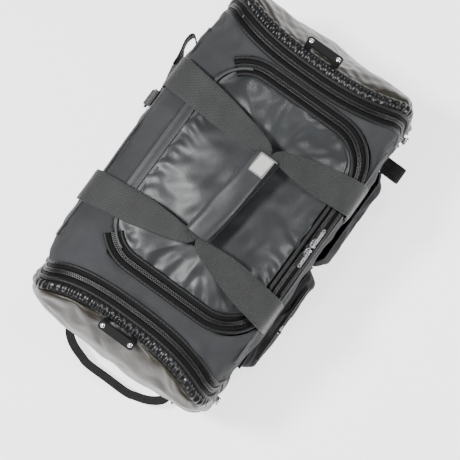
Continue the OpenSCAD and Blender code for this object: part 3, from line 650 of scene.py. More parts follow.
NICKEL = metal("nickel", (0.72, 0.72, 0.74))
GUNMETAL = metal("gunmetal", (0.16, 0.16, 0.17), rough=0.3)
STEEL = metal("steel", (0.50, 0.50, 0.52), rough=0.35)


def finish_piece(obj, body, material=None, replaces=()):
    """Gives a piece its body and its material, and hides the CAD nodes it stands in for."""
    if material is not None:
        obj.data.materials.clear()
        obj.data.materials.append(material)
    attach(obj, body)
    if replaces:
        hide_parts(*replaces)
    return obj


def mm(x, y, z):
    """A point given in millimetres from the bag's middle."""
    return np.array([MID_X + x / 1000, y / 1000, z / 1000])


def run_along(outline, start, end, count):
    """Points on an outline, which is a function of the share round it, from one share to another."""
    return np.array([outline(start + (end - start) * t) for t in np.linspace(0, 1, count)])


def four_sided(left, top, right, bottom):
    """Fills the space between four lines of points with an even grid (a Coons patch)."""
    u, v = np.meshgrid(np.linspace(0, 1, len(bottom)), np.linspace(0, 1, len(left)))
    u, v = u[..., None], v[..., None]
    return ((1 - v) * bottom[None] + v * top[None] + (1 - u) * left[:, None] + u * right[:, None]
            - (1 - u) * (1 - v) * bottom[0] - u * (1 - v) * bottom[-1]
            - (1 - u) * v * top[0] - u * v * top[-1])


def edge_pins(rows, columns):
    """Pins for a grid whose outer edge is sewn down."""
    pins = np.zeros((rows, columns))
    pins[0], pins[-1], pins[:, 0], pins[:, -1] = 1, 1, 1, 1
    return pins


# ---------- body between the end zips ----------


def build_body():
    """The fabric between the end zips, from the tray's left rim over the top to its right rim."""
    columns, rows = 76, 124
    s = np.linspace(0, GIRTH, rows)
    y, z, ny, nz = section(s)
    u = np.linspace(-1, 1, columns)
    reach = zip_x(z) + arch(y, z) - SEAM
    x = u[None, :] * reach[:, None]
    y, z = np.repeat(y[:, None], columns, 1), np.repeat(z[:, None], columns, 1)
    top = z > MID_Z + 0.03
    mid_x = (x[:-1, :-1] + x[1:, 1:] + x[:-1, 1:] + x[1:, :-1]) / 4 + MID_X
    mid_y = (y[:-1, :-1] + y[1:, 1:]) / 2
    under_lid = flap_distance(mid_x, mid_y, seam_at(mid_y)) < 0
    keep = ~(under_lid & top[:-1, :-1])
    around = np.zeros((rows, columns, 2), bool)
    for dj in (0, 1):
        for di in (0, 1):
            around[dj:rows - 1 + dj, di:columns - 1 + di, 0] |= keep
            around[dj:rows - 1 + dj, di:columns - 1 + di, 1] |= ~keep
    rim = around[..., 0] & around[..., 1]
    px, py = pull_to_outline(x + MID_X, y, seam_at(y), rim)
    z = np.where(rim, body_z(py), z)
    points = sag(np.stack([px, py, z], -1))
    pins = edge_pins(rows, columns)
    pins[rim] = 1
    near_flap = np.clip(1 - flap_distance(points[..., 0], points[..., 1], SEAM) / 0.012, 0, 1) * top * 0.9
    pins = np.maximum(pins, np.round(near_flap, 1))
    points[..., 2] -= 0.0012 * near_flap
    # puckers on the strips between the lid and the end zips
    slope = Ripple(91, 0.060, 12)(points * np.array([1.0, 1.0, 0.4]))
    fine = Ripple(92, 0.022, 12)(points)
    strip = np.clip((np.abs(points[..., 0] - MID_X) - 0.150) / 0.03, 0, 1) * (1 - pins)
    push = strip * (0.0042 * slope + 0.0014 * fine)
    points[..., 1] += push * ny[:, None]
    points[..., 2] += push * nz[:, None]
    uvs = np.stack([points[..., 0], np.repeat(s[:, None], columns, 1)], -1)
    shell = panel("body_panels", points, uvs, pins, swell=0.040, puff=1.3, limit=0.0090, thickness=0.0016,
                  seed=11, keep=keep, relief=0.0036, materials=(BODY, LINING))
    finish_piece(shell, "bag", None, ("body_shell",))


def tray_ring(z, grow, count=200):
    """Plan of the base at one height: straight sides, rounded ends that meet the end panels' lower edges."""
    half = body_y(TRAY_Z)
    t = np.linspace(0, 2 * math.pi, count, endpoint=False)
    power = 2 * 0.30
    reach = TRAY_X - 0.0015 - ZIP_FOOT_X
    ahead = np.abs(np.cos(t))
    x = np.sign(np.cos(t)) * (ZIP_FOOT_X * np.minimum(1, ahead * 6) + (reach + grow) * ahead**power)
    y = np.sign(np.sin(t)) * (half + grow) * np.abs(np.sin(t)) ** power
    return np.stack([MID_X + x, y, np.full(count, z)], -1)


def build_tray():
    """The base tray below the panels, closed at the bottom."""
    bottom = 0.0201
    # height and outward growth of each ring, from the rim down
    levels = [(TRAY_Z + 0.0005, -0.004), (TRAY_Z + 0.0005, 0.0), (TRAY_Z - 0.002, 0.0006), (0.056, 0.0018),
              (0.044, 0.0026), (0.032, 0.0020), (0.025, 0.0), (0.0215, -0.005), (0.0203, -0.012),
              (bottom, -0.03)]
    rings = [tray_ring(z, grow) for z, grow in levels]
    count = len(rings[0])
    points = np.concatenate(rings + [np.array([[MID_X, 0, bottom]])])
    faces = [f[::-1] for f in grid_faces(len(rings), count, wrap=True)]
    last = (len(rings) - 1) * count
    faces += [(last + (i + 1) % count, last + i, len(points) - 1) for i in range(count)]
    rows_uv = [np.stack([np.arange(count) * 0.0088, np.full(count, -k * 0.008)], -1)
               for k in range(len(rings))]
    tray = new_object("base_tray", points, faces, np.concatenate(rows_uv + [np.zeros((1, 2))]))
    finish_piece(tray, "bag", BODY)


def build_base_piping():
    z = TRAY_Z - 0.0035
    rim = tray_ring(z, 0.0006, 400)
    out = rim - np.array([MID_X, 0, z])
    out[:, 0] = np.sign(out[:, 0]) * np.maximum(0, np.abs(out[:, 0]) - ZIP_FOOT_X)
    out /= np.linalg.norm(out, axis=1)[:, None] + 1e-9
    loop = Route(np.vstack([rim, rim[:1]]), np.vstack([out, out[:1]]))
    piping = sweep("base_piping", loop, round_profile(0.0017, 0.0004), closed_ends=False)
    finish_piece(piping, "bag", CORD)


# ---------- end caps ----------

END_POWER = 0.26
CAP_T = np.linspace(0, 1, 1201)
CAP_K = np.cos(CAP_T * math.pi / 2) ** END_POWER
CAP_G = np.sin(CAP_T * math.pi / 2) ** END_POWER
CAP_K[-1] = 0


def front_x(y, z):
    """How far out an end panel's front stands, from the base up."""
    h = np.clip((z - TRAY_Z) / (TOP_Z - TRAY_Z), 0, 1)
    round_off = np.clip(1 - (y / HALF_WIDTH) ** 2, 0, 1)
    lean_in = 0.039 * h**1.6
    belly = 0.008 * np.sin(math.pi * h) * round_off
    return TRAY_X - 0.0010 - lean_in + belly + 0.9 * arch(y, z + 0.012)


def cap_surface(s, t):
    """A point on an end's surface: s along the zip's outline, t from the zip (0) to the lower middle (1)."""
    y0, z0 = np.interp(s, OUT_S, OUT_Y), np.interp(s, OUT_S, OUT_Z)
    k, g = np.interp(t, CAP_T, CAP_K), np.interp(t, CAP_T, CAP_G)
    y = y0 * k
    z = TRAY_Z + 0.0018 + (z0 - TRAY_Z - 0.0018) * k
    base = zip_x(z0) + arch(y0, z0)
    x = base + (front_x(y, z) - base) * g
    return np.stack([x, y, z], -1)


def cap_length_table(s):
    """Distance from the zip along the cap's surface, for shares of the way to the lower middle."""
    t = np.concatenate([np.linspace(0, 0.02, 60) ** 2 * 50, np.linspace(0.021, 1, 400)])
    path = cap_surface(np.full(len(t), s), t)
    return t, np.concatenate([[0], np.cumsum(np.linalg.norm(np.diff(path, axis=0), axis=1))])


CAP_COUNT = 120
CAP_TABLES = [cap_length_table(s) for s in np.linspace(0, GIRTH, CAP_COUNT + 1)]


def cap_table(share):
    """The length table nearest to a share of the way along the zip's outline."""
    return CAP_TABLES[int(np.clip(round(share * CAP_COUNT), 0, CAP_COUNT))]


def cap_at(s, distance, table):
    """A point on the cap's surface at a distance from the zip, following the surface."""
    t, length = table
    return cap_surface(np.array([s]), np.array([np.interp(distance, length, t)]))[0]


GATHER_END = 0.031  # from the zip's middle to the gathered band's far edge, over the top


def gather_share(s):
    """The band narrows towards the foot of the zip."""
    return 0.62 + 0.38 * math.sin(math.pi * np.clip(s / GIRTH, 0, 1)) ** 0.4


def mirror(points, side):
    """Puts points of an end at the end that side names, with its upper corners drawn in."""
    return sag(np.stack([MID_X + side * points[..., 0], points[..., 1], points[..., 2]], -1))


def build_gathered_band(side, letter):
    """A satin band beside the zip, rolled across its width and gathered along its length; its near-black
    colour is painted shade.
    """
    rows, columns = 460, 13
    s = np.linspace(0, GIRTH, rows)
    q = np.linspace(0, 1, columns)
    grid = []
    for a in s:
        end = gather_share(a) * GATHER_END
        grid.append([cap_at(a, SEAM + (end - SEAM) * b, cap_table(a / GIRTH)) for b in q])
    grid = mirror(np.array(grid), side)
    rng = np.random.RandomState(40 + (side > 0))
    phase = np.cumsum(2 * math.pi / (0.0115 * (0.55 + 0.9 * rng.rand(rows)))) * (GIRTH / rows)
    every = 12
    drawn = rng.rand(rows // every + 2)
    depth = 0.0005 + 0.0013 * np.interp(np.arange(rows), np.arange(0, rows + every, every), drawn)
    folds = np.sin(phase) * depth
    swell = 0.0042 * np.sin(math.pi * q) ** 0.7
    bare = grid_object("temp", grid, no_uv(rows * columns))
    normal = normals_of(bare).reshape(rows, columns, 3)
    bpy.data.objects.remove(bare)
    outward = np.sign((normal * (grid - np.array([MID_X, 0, 0.12]))).sum(-1).mean())
    lean = 0.25 * np.roll(folds, 3)[:, None] * (q[None, :] - 0.5)
    fade = np.sin(math.pi * np.clip(q, 0.04, 0.96))[None, :] ** 0.45
    height = swell[None, :] + (folds[:, None] + lean) * fade
    points = grid + normal * outward * height[..., None]
    uvs = np.stack(np.meshgrid(q * 0.018, s), -1)
    band = grid_object("gathered_band_" + letter, points, uvs)
    if outward < 0:
        band.data.flip_normals()
    # near-black satin outside, its colour painted shade on the gathered band
    for m in (SHADE_DARK_SATIN, LINING):
        band.data.materials.append(m)
    finish_cloth(band, 0.0011, 1, 0)
    finish_piece(band, "end_cap_" + letter)


def cap_outline(share):
    """The end zip's outline seen along the bag, from the middle of its foot."""
    y, z = np.interp(share * GIRTH, OUT_S, OUT_Y), np.interp(share * GIRTH, OUT_S, OUT_Z)
    return np.array([y, max(z, TRAY_Z) - TRAY_Z])


def cap_grid(rows, columns):
    """An even grid over an end cap, from the gathered band over the ridge to the base."""
    corner = 0.285
    line = np.linspace(0, 1, columns)
    foot = np.stack([cap_outline(0)[0] * (1 - 2 * line), np.zeros(columns)], -1)
    flat = four_sided(run_along(cap_outline, 0, corner, rows),
                      run_along(cap_outline, corner, 1 - corner, columns),
                      run_along(cap_outline, 1, 1 - corner, rows), foot)
    shares = np.linspace(0, 1, 1500)
    rim = np.array([cap_outline(v) for v in shares])
    angle = np.arctan2(rim[:, 1], rim[:, 0])
    angle[0], angle[-1] = 0, math.pi
    size = np.hypot(rim[:, 0], rim[:, 1])
    grid = np.zeros((rows, columns, 3))
    for j in range(rows):
        for i in range(columns):
            a = math.atan2(max(flat[j, i, 1], 0), flat[j, i, 0])
            v = np.interp(a, angle, shares)
            inward = 1 - min(1.0, np.hypot(*flat[j, i]) / np.interp(a, angle, size))
            start = gather_share(v * GIRTH) * GATHER_END
            table = cap_table(v)
            grid[j, i] = cap_at(v * GIRTH, start + inward * (table[1][-1] - start), table)
    return grid


def build_end_panel(side, letter):
    rows, columns = 64, 96
    points = mirror(cap_grid(rows, columns), side)
    if side > 0:
        points = points[:, ::-1]
    uvs = np.stack(np.meshgrid(np.linspace(0, 0.33, columns), np.linspace(0, 0.28, rows)), -1)
    body = "end_cap_" + letter
    cap = panel("end_panel_" + letter, points, uvs, edge_pins(rows, columns), swell=0.017, puff=1.0,
                limit=0.0085, thickness=0.0016, seed=70 + side, relief=0.0030, bend=2.5,
                materials=(TAUPE, LINING))
    finish_piece(cap, body, None, (body,))


# ---------- the lid ----------


LID_MID_Y, LID_HALF_Y = (HINGE_Y - FLAP_EDGE_Y) / 2, (HINGE_Y + FLAP_EDGE_Y) / 2


def lid_corner(sx, sy, angle, radius):
    """A point on one of the lid's four rounded corners."""
    return (FLAP_MID_X + sx * (FLAP_HALF - FLAP_CORNER) + radius * math.cos(angle),
            LID_MID_Y + sy * (LID_HALF_Y - FLAP_CORNER) + radius * math.sin(angle))


def lid_ring():
    """The lid panel's edge, inside the zip, as a closed ring of points."""
    steps, ring = 25, []
    for k, (sx, sy) in enumerate(((1, 1), (-1, 1), (-1, -1), (1, -1))):
        quarter = math.pi / 2 * k
        for a in np.linspace(0, math.pi / 2, steps):
            edge_y = LID_MID_Y + sy * (LID_HALF_Y - FLAP_CORNER) + FLAP_CORNER * math.sin(quarter + a)
            ring.append(lid_corner(sx, sy, quarter + a, FLAP_CORNER - float(seam_at(edge_y)) + 0.0005))
    for k in (2, 0):  # points along the two straight edges between the front and back corners
        last = steps * k + steps - 1
        a, b = np.array(ring[last]), np.array(ring[last + 1])
        ring[last + 1:last + 1] = [tuple(a + (b - a) * q) for q in np.linspace(0.1, 0.9, 9)]
    return np.array(ring + [ring[0]])


def lid_plan(rows, columns):
    """An even grid over the lid in plan."""
    ring = lid_ring()
    run = np.concatenate([[0], np.cumsum(np.linalg.norm(np.diff(ring, axis=0), axis=1))])

    def at(share):
        s = share % 1.0 * run[-1]
        return np.array([np.interp(s, run, ring[:, 0]), np.interp(s, run, ring[:, 1])])

    # shares of the ring where the grid's corners sit, one near each rounded corner
    back_b, back_a, front_a, front_b = [run[i] / run[-1] for i in (12, 37, 62, 87)]
    return four_sided(run_along(at, front_a, back_a, rows), run_along(at, back_a, back_b, columns),
                      run_along(at, front_b - 1, back_b, rows), run_along(at, front_a, front_b, columns))


def lid_folds(x, y):
    """Folds that fan out from where the straps pull at the lid."""
    pull = np.zeros_like(x)
    rng = np.random.RandomState(5)
    # where each strap leaves the grip, and the heading of its folds in radians
    for cx, cy, heading in ((-0.076, -0.012, 2.4), (-0.076, -0.028, 3.9),
                            (0.073, -0.012, 0.75), (0.073, -0.030, 5.5)):
        dx, dy = x - (MID_X + cx), y - cy
        distance, bearing = np.hypot(dx, dy), np.arctan2(dy, dx)
        for k in range(5):
            direction = heading + (k - 2) * 0.33 + 0.1 * rng.randn()
            off = np.angle(np.exp(1j * (bearing - direction)))
            away = (distance - 0.05 - 0.02 * rng.rand()) / 0.035
            ridge = np.exp(-(off / 0.10) ** 2) * np.exp(-away ** 2)
            pull += ridge * (0.0022 + 0.0012 * rng.rand()) * (1 if k % 2 == 0 else -0.5)
    return pull


def build_lid():
    rows, columns = 66, 84
    plan = lid_plan(rows, columns)
    x, y = plan[..., 0], plan[..., 1]
    inward = 0.05
    edge = np.clip(-flap_distance(x, y, -SEAM) / inward, 0, 1)
    z = body_z(y) + 0.0004 + 0.004 * edge**0.7
    along = np.arctan2(y - LID_MID_Y, x - FLAP_MID_X)
    fade = np.exp(-(edge * inward / 0.013) ** 2)
    puckers = 0.0011 * np.sin(along * 46 + 3 * np.sin(along * 5)) * fade * (edge > 0)
    z = z + lid_folds(x, y) * edge**0.3 + puckers * np.clip(edge * 8, 0, 1)
    flap = panel("lid_panel", np.stack([x, y, z], -1), np.stack([x, y], -1), edge_pins(rows, columns),
                 swell=0.013, puff=0.9, limit=0.0070, thickness=0.0020, seed=23, relief=0.0024, bend=2.0,
                 materials=(GREY, LINING))
    finish_piece(flap, "main_flap", None, ("main_flap",))


def build_hinge_seam():
    """Light piping along the lid's hinge, and the strip of fabric that bends there."""
    reach, turn = FLAP_CORNER - 0.0045, 2.75
    arc = []
    for sx, angles in ((-1, np.linspace(turn, math.pi / 2, 20)),
                       (1, np.linspace(math.pi / 2, math.pi - turn, 20))):
        for a in angles:
            arc.append((FLAP_MID_X + sx * (FLAP_HALF - FLAP_CORNER) + reach * math.cos(a),
                        LID_HALF_Y + LID_MID_Y - FLAP_CORNER + reach * math.sin(a), 0.0))
    arc = smooth_points(arc, 0.003)
    arc[:, 2] = body_z(arc[:, 1]) + 0.0014
    seam = Route(arc, np.tile([0, 0.2, 1.0], (len(arc), 1)))
    finish_piece(sweep("hinge_piping", seam, round_profile(0.0021, 0.0018)), "main_flap", PIPING)
    rows, columns, margin = 9, 90, 0.054
    xs = np.linspace(FLAP_MID_X - FLAP_HALF + margin, FLAP_MID_X + FLAP_HALF - margin, columns)
    fold = []
    for q in np.linspace(-0.014, 0.014, rows):
        y = HINGE_Y + q
        z = np.full(columns, body_z(y)) + 0.0021 - 0.0009 * (q > 0)
        fold.append(np.stack([xs, np.full(columns, y), z], -1))
    strip = grid_object("hinge_strip", np.array(fold), no_uv(rows * columns))
    finish_cloth(strip, 0.0012, None, 0)
    strip.data.materials.append(GREY)
    z, span = body_z(HINGE_Y), 0.011
    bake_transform(strip)


# ---------- zips ----------


def lid_zip_route():
    """From the hinge's left end, round the free edges, to its right end, on the lid's outline."""
    ring = []
    for sx, start in ((-1, math.pi), (1, 1.5 * math.pi)):
        ring += [lid_corner(sx, -1, start + a, FLAP_CORNER) for a in np.linspace(0, math.pi / 2, 25)]
    r, stop = FLAP_CORNER, 0.088
    turn = math.asin(min(1, (stop - (HINGE_Y - r)) / r))
    lead = [(FLAP_MID_X - FLAP_HALF + r - r * math.cos(a), HINGE_Y - r + r * math.sin(a))
            for a in np.linspace(turn, 0, 12)]
    tail = [(2 * FLAP_MID_X - px, py) for px, py in reversed(lead)]
    ring = np.array(lead + ring + tail)
    run = np.concatenate([[0], np.cumsum(np.linalg.norm(np.diff(ring, axis=0), axis=1))])
    even = np.linspace(0, run[-1], 240)
    x, y = np.interp(even, run, ring[:, 0]), np.interp(even, run, ring[:, 1])
    ny, nz = top_normal(y)
    return Route(np.stack([x, y, body_z(y)], -1), np.stack([np.zeros_like(y), ny, nz], -1))


def end_zip_route(side):
    low = np.interp(0.074, OUT_Z[:800], OUT_S[:800])
    s = np.linspace(low, GIRTH - low, 260)
    y, z, ny, nz = section(s)
    x = MID_X + side * (zip_x(z) + arch(y, z))
    return Route(sag(np.stack([x, y, z], -1)), np.stack([0 * y, ny, nz], -1))


def build_zip(name, route, halves):
    """Both halves of a zip, each given as (sign of the side direction, body, nodes replaced)."""
    for sign, body, nodes in halves:
        tag = name + "_" + body
        section_points = [(sign * 0.0021, 0.0004), (sign * 0.0021, 0.0014), (sign * 0.0120, 0.0018),
                          (sign * 0.0128, 0.0006)]
        tape = sweep(tag + "_tape", route, section_points[::int(sign)])
        finish_piece(tape, body, TAPE, nodes)
        teeth = boxes_along(tag + "_teeth", route, (sign * 0.0011, 0.0009), (0.0016, 0.0030, 0.0019), 0.0030,
                            0.25 * sign)
        finish_piece(teeth, body, TEETH)
        wire = sweep(tag + "_coil", route, round_profile(0.0010, 0.0019, sign * 0.0024, 8))
        finish_piece(wire, body, TEETH)
        ripple = 1 + 0.03 * np.sin(route.length / 0.0052 * 2 * math.pi + 2 * np.sin(route.length * 40))
        ring = [(sign * 0.0118 + a, b) for a, b in round_profile(0.0026, 0.0026, 0, 12)]
        cord = sweep(tag + "_cord", route, ring, heights=ripple)
        finish_piece(cord, body, CORD)


def resampled(route):
    """The same route with its points evenly spaced."""
    s = np.linspace(0, route.length[-1], 620)
    p, _, n, _ = route.at(s)
    return Route(p, n)


def build_zips():
    build_zip("lid_zip", resampled(lid_zip_route()),
              ((-1.0, "bag", ("main_zip_body",)), (1.0, "main_flap", ("main_zip_flap",))))
    for side, letter in ((-1, "a"), (1, "b")):
        build_zip("end_zip_" + letter, resampled(end_zip_route(side)),
                  ((side * 1.0, "end_cap_" + letter, ("end_zip_cap_" + letter,)),
                   (-side * 1.0, "bag", ("end_zip_body_" + letter,))))


# ---------- carry handles, grip and label ----------

SKEW = math.radians(6)
LEG_START, LEG_X = GRIP_HIGH.x - MID_X + 0.003, 0.100
PIVOT_Z, PIVOT_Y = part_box("handle_left")[0].z, HALF_WIDTH + 0.0003
GRIP_LIFT = 0.091  # of the webbing in the grip, above the anchors
# one handle leg from the anchor to the grip: share of the way along, share of the way across, height above
# the anchor in metres, and share of the webbing's full width
LEG = [(1.00, 0.000, 0.005, 1.00), (1.00, 0.006, 0.012, 1.00), (1.00, 0.014, 0.025, 1.00),
       (0.98, 0.036, 0.043, 1.00), (0.93, 0.090, 0.053, 1.00), (0.84, 0.195, 0.060, 0.98),
       (0.68, 0.390, 0.067, 0.94), (0.48, 0.600, 0.077, 0.84), (0.34, 0.785, 0.085, 0.66),
       (0.25, 0.915, 0.0895, 0.50), (0.08, 0.992, GRIP_LIFT, 0.40)]


GRIP_LENGTH = GRIP_HIGH.x - GRIP_LOW.x
GRIP_COLUMNS = 60


def skewed(x, y):
    """The grip lies a little turned on the lid."""
    near = max(0.0, 1 - max(0.0, abs(x) - LEG_START) / 0.03)
    return y - math.sin(SKEW) * x * near


def build_handle(side, name, fold_y):
    """One carry handle from anchor to anchor, folded lengthwise to pass through the grip."""
    half = []
    for along, across, lift, wide in LEG:
        x = LEG_START + (LEG_X - LEG_START) * along
        y = side * PIVOT_Y + (fold_y - side * PIVOT_Y) * across
        half.append((x, y, PIVOT_Z + lift, wide))
    half += [(x, fold_y, PIVOT_Z + GRIP_LIFT, 0.36) for x in (0.066, 0.030, 0.0)]
    whole = half + [(-x, y, z, w) for x, y, z, w in reversed(half[:-1])]
    path = smooth_points([(x, skewed(x, y), z, w) for x, y, z, w in whole], 0.0035)
    p = path[:, :3] + np.array([MID_X, 0, 0])
    lean = np.clip((p[:, 2] - PIVOT_Z - 0.02) / 0.062, 0, 1) * math.pi / 2
    route = Route(p, np.stack([0 * lean, side * np.cos(lean), np.sin(lean)], -1))
    thick = 1 + 0.9 * np.clip((0.85 - path[:, 3]) / 0.45, 0, 1)
    profile = flat_profile(WEBBING, 0.0026, -0.0013)
    strap = sweep(name + "_webbing", route, profile, widths=path[:, 3], heights=thick)
    finish_piece(strap, name, GREY_WEBBING, (name,))
    # rows of stitches where the webbing is folded over and sewn
    for off, edge in ((-0.42, "l"), (0.42, "r")):
        line = boxes_along("temp", route, (off * WEBBING * 0.9, 0.0013), (0.0030, 0.0008, 0.0005), 0.0045)
        points = coordinates(line)
        low = (points[:, 2] < PIVOT_Z + 0.045) & (points[:, 2] > PIVOT_Z + 0.010)
        faces = [tuple(f.vertices) for f in line.data.polygons if all(low[i] for i in f.vertices)]
        bpy.data.objects.remove(line)
        points, faces, _ = drop_loose(points, faces)
        stitches = new_object(f"{name}_stitch_row_{edge}", points, faces, no_uv(len(points)), smooth=False)
        finish_piece(stitches, name, PALE_THREAD)


def rounded_box(angle, width, height, width_power, height_power):
    """A point on a rounded-box section at one angle."""
    c, s = math.cos(angle), math.sin(angle)
    return width * np.sign(c) * abs(c) ** width_power, height * np.sign(s) * abs(s) ** height_power


def build_grip():
    """A padded wrap closed round both handles, coated outside."""
    around, mid = 48, np.array(GRIP_MID)
    lumps = Ripple(3, 0.03)
    rows, uvs = [], []
    for q in [i / (GRIP_COLUMNS - 1) for i in range(GRIP_COLUMNS)]:
        x = (q - 0.5) * GRIP_LENGTH
        swell = 1 + 0.05 * math.sin(math.pi * q) - 0.06 * (abs(2 * q - 1) ** 6)
        angles = [2 * math.pi * j / around for j in range(around)]
        ring = np.array([(x, *rounded_box(a, 0.0185 * swell, 0.0088 * swell, 0.62, 0.72)) for a in angles])
        ring[:, 1] -= math.sin(SKEW) * x
        out = ring - np.array([x, -math.sin(SKEW) * x, 0])
        ring += out / (np.linalg.norm(out, axis=1)[:, None] + 1e-9) * 0.0008 * lumps(ring)[:, None]
        rows.append(ring + mid)
        uvs.append(np.stack([np.full(around, x), np.arange(around) * 0.0024], -1))
    points = np.concatenate(rows)
    faces = grid_faces(GRIP_COLUMNS, around, wrap=True)
    faces.append(tuple(range(around - 1, -1, -1)))
    faces.append(tuple(range((GRIP_COLUMNS - 1) * around, GRIP_COLUMNS * around)))
    wrap = new_object("grip_wrap_cover", points, [f[::-1] for f in faces], np.concatenate(uvs))
    finish_piece(wrap, "handle_left", None, ("grip_wrap",))
    # the wrap's end faces take the same near-black satin, whose colour was set as painted shade for the
    # gathered bands
    for m in (GREY, SHADE_DARK_SATIN):
        wrap.data.materials.append(m)
    if (normals_of(wrap) * (points - mid)).sum(1).mean() < 0:
        wrap.data.flip_normals()
    for f in wrap.data.polygons:
        if len(f.vertices) > 4:
            f.material_index = 1


def build_hook_tape():
    """Hook tape folded over the grip's open side, wider towards end B."""
    across, mid = 12, GRIP_MID
    points = []
    for q in [i / (GRIP_COLUMNS - 1) for i in range(GRIP_COLUMNS)]:
        x = (q - 0.5) * (GRIP_LENGTH - 0.004)
        for k in range(across):
            angle = math.pi * (1.30 - 0.62 * k / (across - 1) * (0.62 + 0.38 * q))
            y, z = rounded_box(angle, 0.0198, 0.0098, 0.62, 0.72)
            points.append((mid[0] + x, mid[1] + y - math.sin(SKEW) * x, mid[2] + z))
    faces = [f[::-1] for f in grid_faces(GRIP_COLUMNS, across)]
    hook = new_object("grip_hook_tape", points, faces, no_uv(len(points)))
    finish_cloth(hook, 0.0009, None, 0)
    finish_piece(hook, "handle_left", FUZZ)


def build_label():
    """A blank square label with a border, lying on the grip."""
    low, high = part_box("label_patch")
    centre = (low + high) / 2
    n = 15
    u, v = np.meshgrid(np.linspace(-0.5, 0.5, n), np.linspace(-0.5, 0.5, n))
    for name, size, lift, material, nodes in (("label_border", 0.0285, 0.0000, LABEL_EDGE, ()),
                                              ("label_blank", 0.0245, 0.0005, LABEL, ("label_patch",))):
        px, py = u * size * 1.06, v * size
        turned = py - math.sin(SKEW) * (px + centre.x - MID_X)
        curl = -0.0030 * np.abs(v * 2) ** 4
        bulge = 1 + 0.05 * np.sin(math.pi * ((px + centre.x - MID_X) / GRIP_LENGTH + 0.5))
        top = GRIP_MID.z + 0.0088 * bulge + 0.0005 + curl + lift
        points = np.stack([centre.x + px, centre.y + 0.001 + turned, top], -1)
        patch = grid_object(name, points, np.stack([px, py], -1))
        finish_cloth(patch, 0.0010, None, 0)
        finish_piece(patch, "handle_left", material, nodes)


def side_route(x, z0, z1, sy, lift=0.0012, step=0.003):
    z = np.linspace(z0, z1, max(6, int(abs(z1 - z0) / step)))
    y = np.array([body_y(v) for v in z])
    slope = np.gradient(y, z)
    normal = np.stack([0 * z, sy * np.ones_like(z), -slope], -1)
    normal /= np.linalg.norm(normal, axis=1)[:, None]
    return Route(np.stack([np.full_like(z, MID_X + x), sy * y, z], -1) + normal * lift, normal)


def stitched_box(name, centre_x, side, middle_z, half_w, half_h):
    """A box of stitches with a cross in it, lying on the bag's side."""
    a, b, c, d = (-half_w, -half_h), (half_w, -half_h), (half_w, half_h), (-half_w, half_h)
    points, faces = [], []
    for start, end in ((a, b), (b, c), (c, d), (d, a), (a, c), (b, d)):
        length = math.hypot(end[0] - start[0], end[1] - start[1])
        count = int(length / 0.0036)
        along = np.array([end[0] - start[0], end[1] - start[1]]) / length
        beside = np.array([-along[1], along[0]])
        for k in range(count):
            middle = np.array(start) + along * (k + 0.5) / count * length
            base = len(points)
            for lift, share in ((0.0036, 1.0), (0.0042, 0.7)):
                for cu, cv in ((-1, -1), (1, -1), (1, 1), (-1, 1)):
                    q = middle + along * cu * 0.0012 * share + beside * cv * 0.0005 * share
                    z = middle_z + q[1]
                    points.append((centre_x + q[0], side * (body_y(z) + lift), z))
            faces.append(tuple(base + 4 + i for i in range(4)))
            faces += [(base + i, base + (i + 1) % 4, base + 4 + (i + 1) % 4, base + 4 + i) for i in range(4)]
    stitches = new_object(name, points, faces, no_uv(len(points)), smooth=False)
    finish_piece(stitches, "bag", PALE_THREAD)


def build_anchors():
    """The sewn ends of the handles on the bag's sides, and the webbing that bends above them."""
    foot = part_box("strap_anchors")[0].z
    for sx, end in ((-1, "a"), (1, "b")):
        for sy, letter, body in ((1, "l", "handle_left"), (-1, "r", "handle_right")):
            tag = f"anchor_{letter}_{end}"
            sewn = side_route(sx * LEG_X, foot - 0.004, PIVOT_Z - 0.007, sy)
            strap = sweep(tag, sewn, flat_profile(WEBBING, 0.0024))
            nodes = ("strap_anchors",) if (sx, sy) == (-1, 1) else ()
            finish_piece(strap, "bag", GREY_WEBBING, nodes)
            half_h = (PIVOT_Z - 0.012 - foot) / 2 - 0.003
            stitched_box(tag + "_stitches", MID_X + sx * LEG_X, sy, foot + half_h + 0.003, 0.019, half_h)
            free = side_route(sx * LEG_X, PIVOT_Z - 0.010, PIVOT_Z + 0.008, sy, 0.0011, 0.001)
            bend = sweep(tag + "_fold", free, flat_profile(WEBBING * 0.985, 0.0027))
            bend.data.materials.append(GREY_WEBBING)
            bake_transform(bend)


# ---------- pockets ----------


